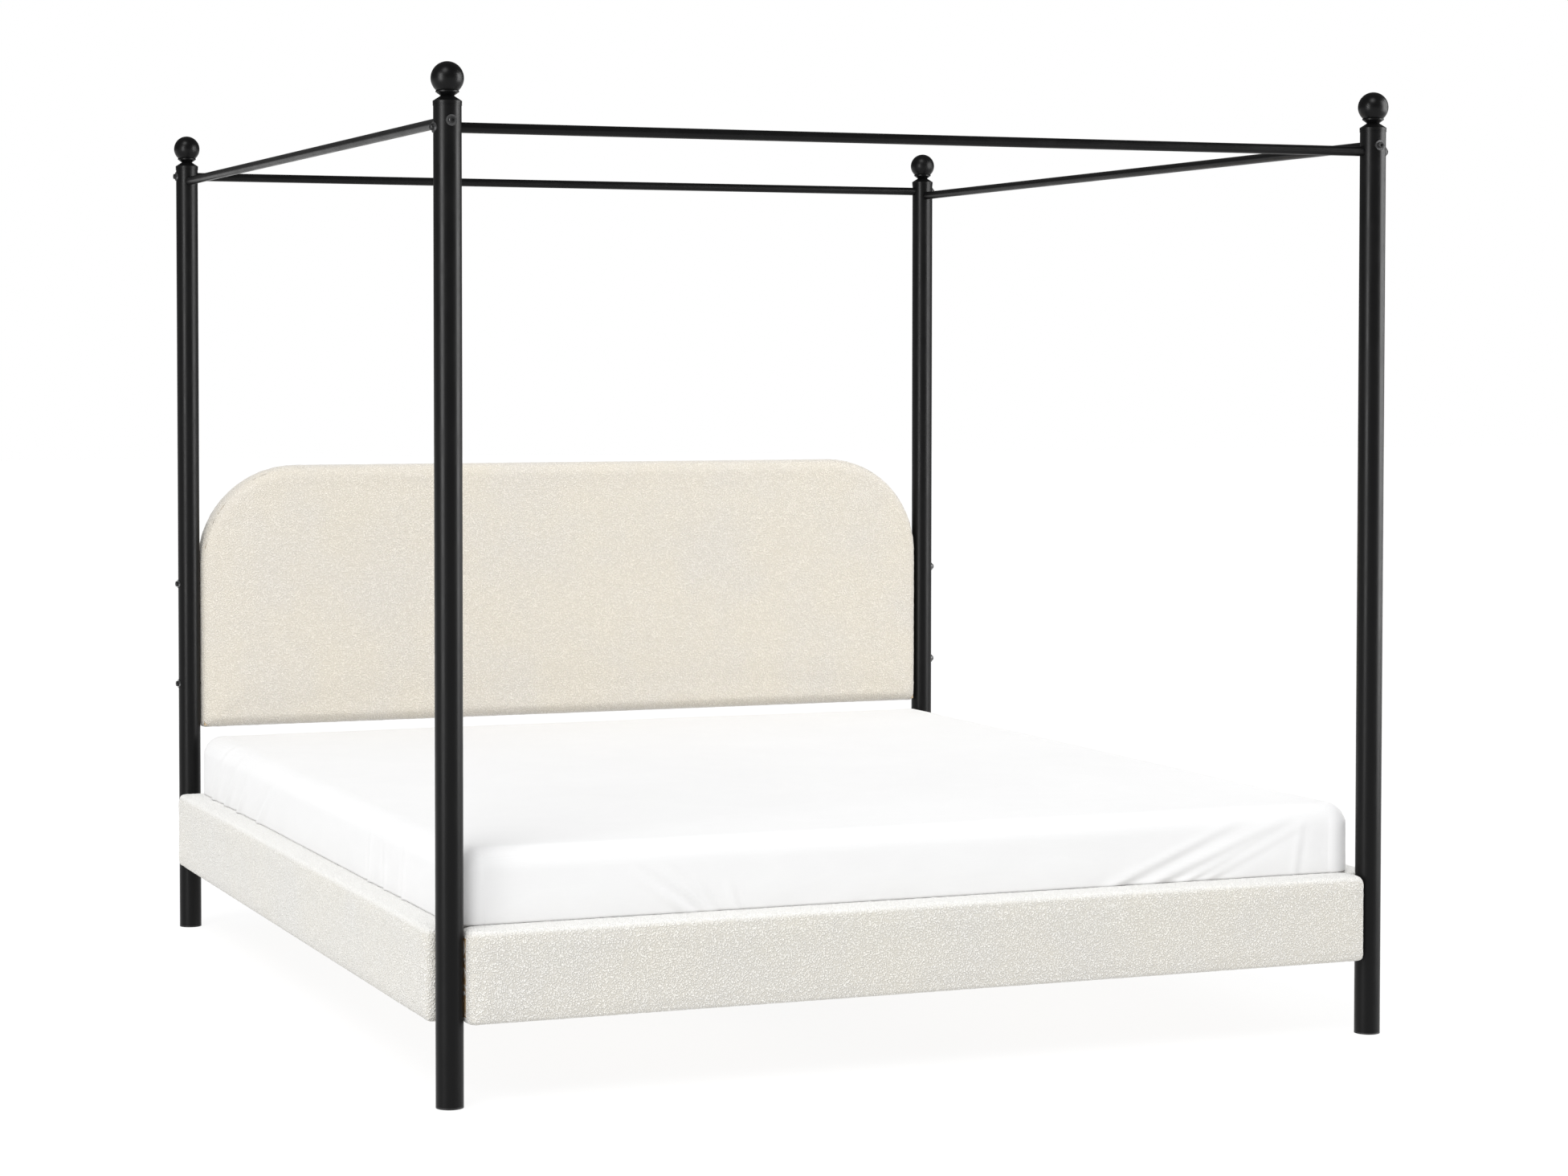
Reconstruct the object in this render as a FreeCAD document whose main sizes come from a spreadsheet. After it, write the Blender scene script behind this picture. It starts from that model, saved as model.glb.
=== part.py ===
import FreeCAD, Part
import math
import os
import Sketcher
from FreeCAD import Placement, Rotation, Vector

# Four poster canopy bed for a 180 x 200 cm mattress: a bolted frame of round steel posts and thin
# canopy rails, with an upholstered headboard, upholstered rails, a sprung slat base and a mattress.
# Millimetres. The origin is on the floor, at the centre of the rectangle between the four posts.
# +X is to the right seen from the foot end, +Y points to the head end, +Z is up.

SIZES = {
    # mattress and the frame around it
    "mattress_width": 1800,
    "mattress_length": 2000,
    "mattress_depth": 199.7,
    "mattress_corner": 45,
    "mattress_edge": 28,
    "mattress_gap": 5,
    "soft_clearance": 0.3,
    "sheet_thickness": 1.2,
    # posts
    "post_height": 1765,
    "post_diameter": 50,
    "post_wall": 2,
    "glide_flange": 3,
    "glide_plug": 16,
    "fit_clearance": 0.2,
    # finials, heights measured up from the top of the post
    "finial_cap_diameter": 51.6,
    "finial_cap_height": 8,
    "finial_groove_low": 2,
    "finial_groove_high": 3,
    "finial_groove_depth": 0.9,
    "finial_neck_diameter": 24,
    "finial_neck_height": 17,
    "finial_ring_diameter": 41.4,
    "finial_ring_low": 23.4,
    "finial_ring_high": 25.6,
    "finial_ball_diameter": 58.6,
    "finial_ball_centre": 48,
    "finial_spigot": 10,
    # canopy
    "canopy_drop": 27,
    "canopy_stagger": 11,
    "canopy_tube_diameter": 19,
    "canopy_tube_wall": 1.5,
    "canopy_insert_length": 20,
    # post bolts
    "bolt_diameter": 6,
    "bolt_reach": 18,
    "bolt_head_diameter": 12,
    "bolt_head_height": 5,
    "bolt_head_edge": 1,
    "bolt_key_size": 5,
    "bolt_key_depth": 3,
    "hole_clearance": 0.4,
    "thread_clearance": 0.1,
    "washer_diameter": 20,
    "washer_thickness": 1.6,
    # upholstered rails
    "rail_below_slats": 103,
    "rail_height": 168,
    "rail_depth": 70,
    "rail_round": 13,
    "rail_end_round": 12,
    "mitre_clearance": 0.5,
    "core_depth": 32,
    "cover_base": 13,
    "core_height": 140,
    "cover_lip_rise": 12,
    # corner brackets
    "bracket_leg": 95,
    "bracket_height": 76,
    "bracket_rise": 2,
    "bracket_weld": 0.55,
    "bracket_thickness": 4,
    "bracket_hole_near": 44,
    "bracket_hole_far": 78,
    "insert_diameter": 10,
    "insert_length": 14,
    "insert_flange": 0.5,
    "screw_shank_diameter": 4,
    # head cross rail
    "head_rail_height": 60,
    "head_rail_rise": 12,
    "tube_wall": 2,
    # headboard
    "headboard_gap": 15,
    "headboard_height": 611,
    "headboard_depth": 70,
    "headboard_corner": 232,
    "headboard_edge": 24,
    "headboard_border": 6,
    "headboard_foam": 17,
    "board_thickness": 12,
    "back_panel_thickness": 3,
    "back_panel_recess": 3,
    "batten_width": 60,
    "headboard_bolt_low": 104,
    "headboard_bolt_high": 337,
    "headboard_insert_length": 20,
    # slat base
    "slat_level": 250,
    "slat_thickness": 8,
    "slat_width": 52,
    "slat_count": 14,
    "slat_row_margin": 2,
    "holder_base": 3,
    "holder_wall": 3,
    "holder_length": 32,
    "slat_end_gap": 3,
    "ledge_width": 44,
    "ledge_leg": 34,
    "ledge_thickness": 3,
    "ledge_end_gap": 5,
    "ledge_screw_count": 6,
    "ledge_screw_length": 15,
    "beam_width": 64,
    "beam_height": 40,
    "beam_end_gap": 4,
    "hanger_length": 42,
    "hanger_thickness": 3,
    # centre legs
    "leg_spacing": 640,
    "leg_diameter": 32,
    "leg_wall": 2,
    "leg_plate": 64,
    "leg_plate_thickness": 4,
    "leg_bottom": 24,
    "leg_plug_length": 18,
    "foot_diameter": 40,
    "foot_height": 13,
    "foot_stud_diameter": 10,
    "foot_stud_length": 34,
}

doc = FreeCAD.newDocument("four_poster_canopy_bed")
sheet = doc.addObject("Spreadsheet::Sheet", "Sizes")
for row, (alias, number) in enumerate(SIZES.items(), start=1):
    sheet.set("A%d" % row, alias.replace("_", " "))
    sheet.set("B%d" % row, str(number))
    sheet.setAlias("B%d" % row, alias)
doc.recompute()


class Size:
    """A number together with the spreadsheet formula that gives it."""

    def __init__(self, number, formula):
        self.number = number
        self.formula = formula

    def combine(self, other, sign, number):
        formula = other.formula if isinstance(other, Size) else repr(other)
        return Size(number, "(%s %s %s)" % (self.formula, sign, formula))

    def __add__(self, other):
        return self.combine(other, "+", self.number + number_of(other))

    def __sub__(self, other):
        return self.combine(other, "-", self.number - number_of(other))

    def __mul__(self, other):
        return self.combine(other, "*", self.number * number_of(other))

    def __truediv__(self, other):
        return self.combine(other, "/", self.number / number_of(other))

    def __rsub__(self, other):
        return Size(number_of(other), repr(other)) - self

    def __neg__(self):
        return self * -1

    __radd__ = __add__
    __rmul__ = __mul__


def number_of(size):
    return size.number if isinstance(size, Size) else size


def bind(target, path, size):
    """Give a property, or a part of one, its size, as a formula where it has one."""
    if isinstance(size, Size):
        target.setExpression(path, size.formula)
    else:
        setattr(target, path, size)


class Sheet:
    """The driving sizes by name: size.post_height is the cell with that alias."""

    def __getattr__(self, alias):
        return Size(SIZES[alias], "Sizes." + alias)


size = Sheet()
PIECES = []


def piece(item, label):
    """Name a finished sub-part and put it on the list to be written out."""
    item.Label = label
    PIECES.append(item)
    return item


def place(item, x=0, y=0, z=0, turn=0, axis=Vector(0, 0, 1)):
    """Stand an item at a place that follows the sheet, turned about an axis."""
    item.Placement = Placement(Vector(number_of(x), number_of(y), number_of(z)), Rotation(axis, turn))
    for letter, size_along in zip("xyz", (x, y, z)):
        if isinstance(size_along, Size):
            item.setExpression("Placement.Base." + letter, size_along.formula)
    return item


# ---------------------------------------------------------------- sketches and features


def new_body(label):
    body = doc.addObject("PartDesign::Body", label)
    body.AllowCompound = True
    return body


def datum(body, role):
    for feature in body.Origin.OriginFeatures:
        if feature.Role == role:
            return feature
    raise ValueError(role)


def new_sketch(body, plane, offset=0):
    """A sketch on one of the body's own planes, moved along that plane's normal."""
    sketch = body.newObject("Sketcher::SketchObject", "sketch")
    sketch.AttachmentSupport = [(datum(body, plane), "")]
    sketch.MapMode = "FlatFace"
    if isinstance(offset, Size):
        sketch.setExpression("AttachmentOffset.Base.z", offset.formula)
    return sketch


def dimension(sketch, kind, *where_and_size):
    *where, wanted = where_and_size
    index = sketch.addConstraint(Sketcher.Constraint(kind, *where, number_of(wanted)))
    if isinstance(wanted, Size):
        sketch.setExpression("Constraints[%d]" % index, wanted.formula)


def pin_point(sketch, edge, end, x, y):
    """Fix one sketch point by its two coordinates."""
    for kind, axis, along in (("DistanceX", -2, x), ("DistanceY", -1, y)):
        if isinstance(along, Size):
            dimension(sketch, kind, -1, 1, edge, end, along)
        else:
            sketch.addConstraint(Sketcher.Constraint("PointOnObject", edge, end, axis))


def circle(sketch, radius, x=0, y=0):
    centre = Vector(number_of(x), number_of(y), 0)
    edge = sketch.addGeometry(Part.Circle(centre, Vector(0, 0, 1), number_of(radius)))
    pin_point(sketch, edge, 3, x, y)
    dimension(sketch, "Radius", edge, radius)


def outline(sketch, corners):
    """A closed straight-sided outline; every corner follows the sheet, and a plain 0 lies on an axis."""
    points = [Vector(number_of(x), number_of(y), 0) for x, y in corners]
    edges = []
    for start, end in zip(points, points[1:] + points[:1]):
        edges.append(sketch.addGeometry(Part.LineSegment(start, end)))
    for edge, following in zip(edges, edges[1:] + edges[:1]):
        sketch.addConstraint(Sketcher.Constraint("Coincident", edge, 2, following, 1))
    for edge, (x, y) in zip(edges, corners):
        pin_point(sketch, edge, 1, x, y)


def rectangle(sketch, left, right, low, high):
    outline(sketch, [(left, low), (right, low), (right, high), (left, high)])


def pad(body, sketch, length, midplane=False, backwards=False):
    feature = body.newObject("PartDesign::Pad", "pad")
    feature.Profile = sketch
    feature.Midplane = midplane
    feature.Reversed = backwards
    bind(feature, "Length", length)
    body.Tip = feature
    doc.recompute()
    return feature


def pocket(body, sketch, length=None, midplane=False, backwards=False):
    """Cut a sketch out of the body, right through where no length is given."""
    before = body.Shape.Volume
    feature = body.newObject("PartDesign::Pocket", "pocket")
    feature.Profile = sketch
    feature.Midplane = midplane
    feature.Reversed = backwards
    if length is None:
        feature.Type = "ThroughAll"
    else:
        bind(feature, "Length", length)
    body.Tip = feature
    doc.recompute()
    if body.Shape.Volume > before - 0.1:
        raise RuntimeError("a pocket in %s cuts nothing" % body.Label)
    return feature


def fillet(body, radius, chosen):
    """Round the edges of the body that the chosen test picks."""
    base = body.Tip
    names = []
    for number, edge in enumerate(base.Shape.Edges, start=1):
        if chosen(edge):
            names.append("Edge%d" % number)
    feature = body.newObject("PartDesign::Fillet", "fillet")
    feature.Base = (base, names)
    bind(feature, "Radius", radius)
    body.Tip = feature
    doc.recompute()


def runs_along(edge, axis):
    """True for a straight edge that is parallel to the axis."""
    if edge.Curve.TypeId != "Part::GeomLine":
        return False
    return abs(abs(edge.tangentAt(edge.FirstParameter).dot(axis)) - 1) < 1e-6


def block(label, left, right, front, back, low, high):
    """A plain straight-sided body between six faces."""
    body = new_body(label)
    sketch = new_sketch(body, "XY_Plane", low)
    rectangle(sketch, left, right, front, back)
    pad(body, sketch, high - low)
    return body


def subtract(label, base, tool):
    item = doc.addObject("Part::Cut", label)
    item.Base = base
    item.Tool = tool
    return item


def join(label, items):
    item = doc.addObject("Part::MultiFuse", label)
    item.Shapes = items
    return item


def rod(radius, length, x=0, y=0, z=0, along="z"):
    """A round rod that starts at a point and runs along one axis."""
    item = doc.addObject("Part::Cylinder", "rod")
    bind(item, "Radius", radius)
    bind(item, "Height", length)
    turns = {"x": (90, Vector(0, 1, 0)), "y": (-90, Vector(1, 0, 0)), "z": (0, Vector(0, 0, 1))}
    turn, axis = turns[along]
    return place(item, x, y, z, turn, axis)


def group(label, master, spots):
    """Identical pieces in one node: a copy of the master at each spot, given as place() arguments."""
    copies = []
    for spot in spots:
        copy = doc.addObject("App::Link", "copy")
        copy.LinkedObject = master
        copies.append(place(copy, **spot))
    item = doc.addObject("Part::Compound", label)
    item.Links = copies
    return piece(item, label)


X_AXIS = Vector(1, 0, 0)
Y_AXIS = Vector(0, 1, 0)
Z_AXIS = Vector(0, 0, 1)

# ---------------------------------------------------------------- places that follow the sizes

post_x = size.mattress_width / 2 + size.mattress_gap + size.rail_depth / 2
post_y = size.mattress_length / 2 + size.mattress_gap + size.rail_depth / 2
post_radius = size.post_diameter / 2
post_bore_radius = post_radius - size.post_wall
side_canopy_level = size.post_height - size.canopy_drop
foot_canopy_level = side_canopy_level - size.canopy_stagger
head_canopy_level = side_canopy_level + size.canopy_stagger
bolt_radius = size.bolt_diameter / 2
bolt_hole_radius = bolt_radius + size.hole_clearance
thread_radius = bolt_radius + size.thread_clearance
core_face = size.core_depth / 2
rail_face = size.rail_depth / 2
rail_bottom = size.slat_level - size.rail_below_slats
rail_top = rail_bottom + size.rail_height
core_bottom = rail_bottom + size.cover_base
core_top = core_bottom + size.core_height
cover_lip_bottom = size.slat_level + size.cover_lip_rise
head_rail_bottom = core_bottom + size.head_rail_rise
slat_bottom = size.slat_level - size.slat_thickness
ledge_top = slat_bottom - size.holder_base
bracket_bottom = core_bottom + size.bracket_rise
bracket_bolt_levels = [
    bracket_bottom + size.bracket_height / 4,
    bracket_bottom + size.bracket_height * 3 / 4,
]
bracket_bolt_spots = [
    (size.bracket_hole_near, bracket_bolt_levels[0]),
    (size.bracket_hole_far, bracket_bolt_levels[1]),
]

mattress_bottom = size.slat_level + size.soft_clearance
mattress_top = mattress_bottom + size.mattress_depth
headboard_bottom = mattress_top + size.headboard_gap
headboard_top = headboard_bottom + size.headboard_height
headboard_bolt_levels = [
    headboard_bottom + size.headboard_bolt_low,
    headboard_bottom + size.headboard_bolt_high,
]

# corner -> its signs along X and Y, and the turn from the foot left corner's piece, in degrees
CORNERS = {
    "foot_left": (-1, -1, 0),
    "foot_right": (1, -1, 90),
    "head_right": (1, 1, 180),
    "head_left": (-1, 1, 270),
}


# ---------------------------------------------------------------- posts, glides and finials


def make_post(corner):
    sign_x, sign_y, _ = CORNERS[corner]
    at_head = corner.startswith("head")
    body = new_body("post_" + corner)
    sketch = new_sketch(body, "XY_Plane", size.glide_flange)
    circle(sketch, post_radius)
    circle(sketch, post_bore_radius)
    pad(body, sketch, size.post_height - size.glide_flange)
    cross_level = head_canopy_level if at_head else foot_canopy_level
    side_holes = new_sketch(body, "XZ_Plane")
    circle(side_holes, bolt_hole_radius, 0, side_canopy_level)
    pocket(body, side_holes, midplane=True)
    cross_holes = new_sketch(body, "YZ_Plane")
    circle(cross_holes, bolt_hole_radius, 0, cross_level)
    if at_head:
        for level in headboard_bolt_levels:
            circle(cross_holes, bolt_hole_radius, 0, level)
    pocket(body, cross_holes, midplane=True)
    place(body, sign_x * post_x, sign_y * post_y)
    piece(body, "post_" + corner)


def make_glide():
    """Plastic end plug that closes the bottom of a post and stands on the floor."""
    plug_radius = post_bore_radius - size.fit_clearance
    plug_bore = plug_radius - size.post_wall
    top = size.glide_flange + size.glide_plug
    body = new_body("post_glide")
    sketch = new_sketch(body, "XZ_Plane")
    profile = [
        (0, 0),
        (post_radius, 0),
        (post_radius, size.glide_flange),
        (plug_radius, size.glide_flange),
        (plug_radius, top),
        (plug_bore, top),
        (plug_bore, size.glide_flange),
        (0, size.glide_flange),
    ]
    outline(sketch, profile)
    revolve(body, sketch)
    return body


def revolve(body, sketch):
    """Turn an upright half profile about the body's vertical axis."""
    feature = body.newObject("PartDesign::Revolution", "revolution")
    feature.Profile = sketch
    feature.ReferenceAxis = (sketch, ["V_Axis"])
    feature.Angle = 360
    body.Tip = feature
    doc.recompute()
    return feature


def make_finial(corner):
    """Turned ball finial: spigot in the post, grooved cap, cone, neck, ledge ring and ball."""
    sign_x, sign_y, _ = CORNERS[corner]
    cap_radius = size.finial_cap_diameter / 2
    groove_radius = cap_radius - size.finial_groove_depth
    neck_radius = size.finial_neck_diameter / 2
    ring_radius = size.finial_ring_diameter / 2
    spigot_radius = post_bore_radius - size.fit_clearance
    body = new_body("finial_turning")
    sketch = new_sketch(body, "XZ_Plane")
    profile = [
        (0, -size.finial_spigot),
        (spigot_radius, -size.finial_spigot),
        (spigot_radius, 0),
        (cap_radius, 0),
        (cap_radius, size.finial_groove_low),
        (groove_radius, size.finial_groove_low),
        (groove_radius, size.finial_groove_high),
        (cap_radius, size.finial_groove_high),
        (cap_radius, size.finial_cap_height),
        (neck_radius, size.finial_neck_height),
        (ring_radius, size.finial_ring_low),
        (ring_radius, size.finial_ring_high),
        (0, size.finial_ball_centre),
    ]
    outline(sketch, profile)
    revolve(body, sketch)
    ball = doc.addObject("Part::Sphere", "finial_ball")
    bind(ball, "Radius", size.finial_ball_diameter / 2)
    place(ball, z=size.finial_ball_centre)
    finial = join("finial_" + corner, [body, ball])
    place(finial, sign_x * post_x, sign_y * post_y, size.post_height)
    piece(finial, "finial_" + corner)


for corner_name in CORNERS:
    make_post(corner_name)
    make_finial(corner_name)

post_spots = [{"x": sign_x * post_x, "y": sign_y * post_y} for sign_x, sign_y, _ in CORNERS.values()]
group("post_glides", make_glide(), post_spots)


# ---------------------------------------------------------------- canopy rails


def make_canopy_rail(label, spacing, x, y, level, turn):
    """Thin tube between two posts, its ends coped to the round of the posts."""
    body = new_body(label)
    sketch = new_sketch(body, "YZ_Plane")
    circle(sketch, size.canopy_tube_diameter / 2)
    circle(sketch, size.canopy_tube_diameter / 2 - size.canopy_tube_wall)
    pad(body, sketch, spacing, midplane=True)
    copes = new_sketch(body, "XY_Plane")
    circle(copes, post_radius, spacing / 2)
    circle(copes, post_radius, -spacing / 2)
    pocket(body, copes, midplane=True)
    place(body, x, y, level, turn)
    piece(body, label)


make_canopy_rail("canopy_rail_foot", 2 * post_x, 0, -post_y, foot_canopy_level, 0)
make_canopy_rail("canopy_rail_head", 2 * post_x, 0, post_y, head_canopy_level, 0)
make_canopy_rail("canopy_rail_left", 2 * post_y, -post_x, 0, side_canopy_level, 90)
make_canopy_rail("canopy_rail_right", 2 * post_y, post_x, 0, side_canopy_level, 90)


def canopy_bolt_spots():
    """Both bolts of each post, each pointing along its rail, away from the outside of the bed."""
    spots = []
    for corner, (sign_x, sign_y, _) in CORNERS.items():
        cross_level = head_canopy_level if corner.startswith("head") else foot_canopy_level
        at_post = {"x": sign_x * post_x, "y": sign_y * post_y}
        spots.append(dict(at_post, z=cross_level, turn=0 if sign_x < 0 else 180))
        spots.append(dict(at_post, z=side_canopy_level, turn=90 if sign_y < 0 else 270))
    return spots


def headboard_bolt_spots():
    spots = []
    for sign_x, turn in ((-1, 0), (1, 180)):
        for level in headboard_bolt_levels:
            spots.append({"x": sign_x * post_x, "y": post_y, "z": level, "turn": turn})
    return spots


def make_post_bolt():
    """Socket bolt through a post along +X, drawn with the post's centre at the origin."""
    washer_face = post_radius + size.washer_thickness
    head_radius = size.bolt_head_diameter / 2
    bevelled_radius = head_radius - size.bolt_head_edge
    body = new_body("post_bolt_turning")
    sketch = new_sketch(body, "XZ_Plane")
    head_back = -washer_face
    head_front = head_back - size.bolt_head_height
    tip = post_radius + size.bolt_reach
    profile = [
        (head_front, 0),
        (tip, 0),
        (tip, bolt_radius),
        (head_back, bolt_radius),
        (head_back, head_radius),
        (head_front + size.bolt_head_edge, head_radius),
        (head_front, bevelled_radius),
    ]
    outline(sketch, profile)
    feature = revolve(body, sketch)
    feature.ReferenceAxis = (sketch, ["H_Axis"])
    key = doc.addObject("Part::Prism", "bolt_key_hole")
    key.Polygon = 6
    bind(key, "Circumradius", size.bolt_key_size / math.sqrt(3))
    bind(key, "Height", size.bolt_key_depth * 2)
    place(key, head_front - size.bolt_key_depth, 0, 0, 90, Y_AXIS)
    return subtract("post_bolt", body, key)


def make_saddle_washer():
    """Round washer, flat under the bolt head and hollowed to the round of the post."""
    washer_face = post_radius + size.washer_thickness
    disc = rod(size.washer_diameter / 2, washer_face, -washer_face, 0, 0, "x")
    column = rod(post_radius, size.washer_diameter * 2, 0, 0, -size.washer_diameter)
    bore = rod(bolt_hole_radius, washer_face * 2, -washer_face * 1.5, 0, 0, "x")
    return subtract("saddle_washer", disc, join("washer_hollow", [column, bore]))


post_bolt = make_post_bolt()
saddle_washer = make_saddle_washer()
group("canopy_bolts", post_bolt, canopy_bolt_spots())
group("canopy_washers", saddle_washer, canopy_bolt_spots())
group("headboard_bolts", post_bolt, headboard_bolt_spots())
group("headboard_washers", saddle_washer, headboard_bolt_spots())


def make_sleeve(label, outer_radius, length, start):
    """Threaded sleeve along +X from a start, with a bore for the bolt."""
    outside = rod(outer_radius, length, start, 0, 0, "x")
    bore = rod(thread_radius, length * 2, start - length / 2, 0, 0, "x")
    return subtract(label, outside, bore)


canopy_tube_bore = size.canopy_tube_diameter / 2 - size.canopy_tube_wall
canopy_insert = make_sleeve(
    "canopy_insert",
    canopy_tube_bore - size.fit_clearance / 2,
    size.canopy_insert_length,
    post_radius + size.fit_clearance,
)
group("canopy_rail_inserts", canopy_insert, canopy_bolt_spots())


# ---------------------------------------------------------------- low rails
# Each low rail is drawn along X with its middle on the Z axis and the inside of the bed at +Y.

half_foot_rail = post_x - post_radius
half_side_rail = post_y - post_radius
LOW_RAILS = {
    "foot_rail": (half_foot_rail, {"x": 0, "y": -post_y, "turn": 0}),
    "side_rail_left": (half_side_rail, {"x": -post_x, "y": 0, "turn": 270}),
    "side_rail_right": (half_side_rail, {"x": post_x, "y": 0, "turn": 90}),
}
ledge_half_length = half_side_rail - size.bracket_leg + post_radius - size.ledge_end_gap
ledge_screw_level = ledge_top - size.ledge_leg / 2


def ledge_screw_places():
    """Distances of the ledge screws from the middle of the side rail."""
    step = (ledge_half_length * 2 - size.ledge_width) / (size.ledge_screw_count - 1)
    first = size.ledge_width / 2 - ledge_half_length
    return [first + step * number for number in range(SIZES["ledge_screw_count"])]


def rail_hole_spots(half_length):
    """Bracket bolt holes near both ends of a low rail, as (distance from the middle, level)."""
    post_centre = half_length + post_radius
    spots = []
    for side in (-1, 1):
        for distance, level in bracket_bolt_spots:
            spots.append((side * (post_centre - distance), level))
    return spots


def make_rail_core(name):
    """Solid timber core with blind holes for the bracket inserts and the ledge screws."""
    half_length, spot = LOW_RAILS[name]
    body = block(
        name + "_core", -half_length, half_length, -core_face, core_face, core_bottom, core_top
    )
    holes = new_sketch(body, "XZ_Plane")
    for distance, level in rail_hole_spots(half_length):
        circle(holes, size.insert_diameter / 2, distance, level)
    if name != "foot_rail":
        for distance in ledge_screw_places():
            screw_hole = size.screw_shank_diameter / 2 + size.thread_clearance
            circle(holes, screw_hole, distance, ledge_screw_level)
    pocket(body, holes)
    place(body, **spot)
    piece(body, name + "_core")


def make_rail_cover(name):
    """Upholstery wrapped round the core: open along the inside for the brackets and ledge."""
    half_length, spot = LOW_RAILS[name]
    pad_body = block(
        name + "_padding", -half_length, half_length, -rail_face, rail_face, rail_bottom, rail_top
    )
    fillet(
        pad_body,
        size.rail_end_round,
        lambda edge: runs_along(edge, Z_AXIS) and edge.Vertexes[0].Point.y < 0,
    )
    fillet(pad_body, size.rail_round, lambda edge: on_level(edge, rail_top.number))
    width = rail_face - post_radius + size.mitre_clearance
    mitres = new_sketch(pad_body, "XY_Plane", rail_bottom)
    for end, outwards in ((-half_length, -width), (half_length, width)):
        beyond = end + outwards
        mitre_corners = [
            (end - 2 * outwards, rail_face + width),
            (beyond, rail_face - 2 * width),
            (beyond, rail_face + width),
        ]
        outline(mitres, mitre_corners)
    pocket(pad_body, mitres, backwards=True)
    hollow = new_body(name + "_hollow")
    section = new_sketch(hollow, "YZ_Plane")
    section_corners = [
        (-core_face, core_bottom),
        (size.rail_depth, core_bottom),
        (size.rail_depth, cover_lip_bottom),
        (core_face, cover_lip_bottom),
        (core_face, core_top),
        (-core_face, core_top),
    ]
    outline(section, section_corners)
    pad(hollow, section, half_length * 2 + size.rail_depth, midplane=True)
    cover = subtract(name + "_cover", pad_body, hollow)
    place(cover, **spot)
    piece(cover, name + "_cover")


def on_level(edge, level):
    return all(abs(vertex.Point.z - level) < 0.001 for vertex in edge.Vertexes)


for rail_name in LOW_RAILS:
    make_rail_core(rail_name)
    make_rail_cover(rail_name)


def make_head_rail():
    """Steel box tube between the head posts, drawn like the low rails."""
    body = new_body("head_cross_rail")
    section = new_sketch(body, "YZ_Plane")
    low = head_rail_bottom
    high = head_rail_bottom + size.head_rail_height
    wall = size.tube_wall
    rectangle(section, -core_face, core_face, low, high)
    rectangle(section, -core_face + wall, core_face - wall, low + wall, high - wall)
    pad(body, section, half_foot_rail * 2, midplane=True)
    holes = new_sketch(body, "XZ_Plane")
    for distance, level in rail_hole_spots(half_foot_rail):
        circle(holes, size.insert_diameter / 2, distance, level)
    pocket(body, holes)
    place(body, 0, post_y, 0, 180)
    piece(body, "head_cross_rail")


make_head_rail()


# ---------------------------------------------------------------- corner brackets


def make_corner_bracket(corner):
    """Steel angle, coped and welded to the post, with a leg along each of the two rails."""
    sign_x, sign_y, turn = CORNERS[corner]
    near = core_face
    far = core_face + size.bracket_thickness
    leg = size.bracket_leg
    weld = post_radius * size.bracket_weld
    body = new_body("corner_bracket_" + corner)
    sketch = new_sketch(body, "XY_Plane", bracket_bottom)
    half = [(weld, weld), (far, weld), (far, near), (leg, near), (leg, far)]
    outline(sketch, half + [(far, far)] + [(y, x) for x, y in reversed(half[1:])])
    pad(body, sketch, size.bracket_height)
    cope = new_sketch(body, "XY_Plane", bracket_bottom)
    circle(cope, post_radius)
    pocket(body, cope, backwards=True)
    for plane in ("XZ_Plane", "YZ_Plane"):
        holes = new_sketch(body, plane)
        for distance, level in bracket_bolt_spots:
            circle(holes, bolt_hole_radius, distance, level)
        pocket(body, holes, length=far * 2, midplane=True)
    place(body, sign_x * post_x, sign_y * post_y, 0, turn)
    piece(body, "corner_bracket_" + corner)


for corner_name in CORNERS:
    make_corner_bracket(corner_name)


def bracket_bolt_places():
    """All bracket bolts, with +X pointing from the bracket out into the rail."""
    spots = []
    for sign_x, sign_y, _ in CORNERS.values():
        for distance, level in bracket_bolt_spots:
            spots.append(
                {
                    "x": sign_x * (post_x - distance),
                    "y": sign_y * (post_y - core_face),
                    "z": level,
                    "turn": 90 if sign_y > 0 else 270,
                }
            )
            spots.append(
                {
                    "x": sign_x * (post_x - core_face),
                    "y": sign_y * (post_y - distance),
                    "z": level,
                    "turn": 0 if sign_x > 0 else 180,
                }
            )
    return spots


def make_short_bolt(label, shank_radius, shank_length, head_radius, head_height, seat):
    """Bolt or screw along +X; its head sits on a seat that lies before the origin."""
    head = rod(head_radius, head_height, -seat - head_height, 0, 0, "x")
    shank = rod(shank_radius, shank_length + seat, -seat, 0, 0, "x")
    return join(label, [head, shank])


bracket_insert = make_sleeve(
    "bracket_insert",
    size.insert_diameter / 2 - size.thread_clearance,
    size.insert_length,
    size.insert_flange,
)
group("bracket_inserts", bracket_insert, bracket_bolt_places())
bracket_bolt = make_short_bolt(
    "bracket_bolt",
    bolt_radius,
    size.insert_length,
    size.bolt_head_diameter / 2,
    size.bolt_head_height,
    size.bracket_thickness,
)
group("bracket_bolts", bracket_bolt, bracket_bolt_places())


# ---------------------------------------------------------------- headboard
# Drawn with the plane through the head posts at Y = 0 and the front at -Y.

inner_bottom = headboard_bottom + size.headboard_border
inner_top = headboard_top - size.headboard_border
inner_half_width = half_foot_rail - size.headboard_border
board_front = -size.headboard_depth / 2 + size.headboard_foam
batten_front = board_front + size.board_thickness
back_panel_back = size.headboard_depth / 2 - size.back_panel_recess
batten_back = back_panel_back - size.back_panel_thickness


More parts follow.
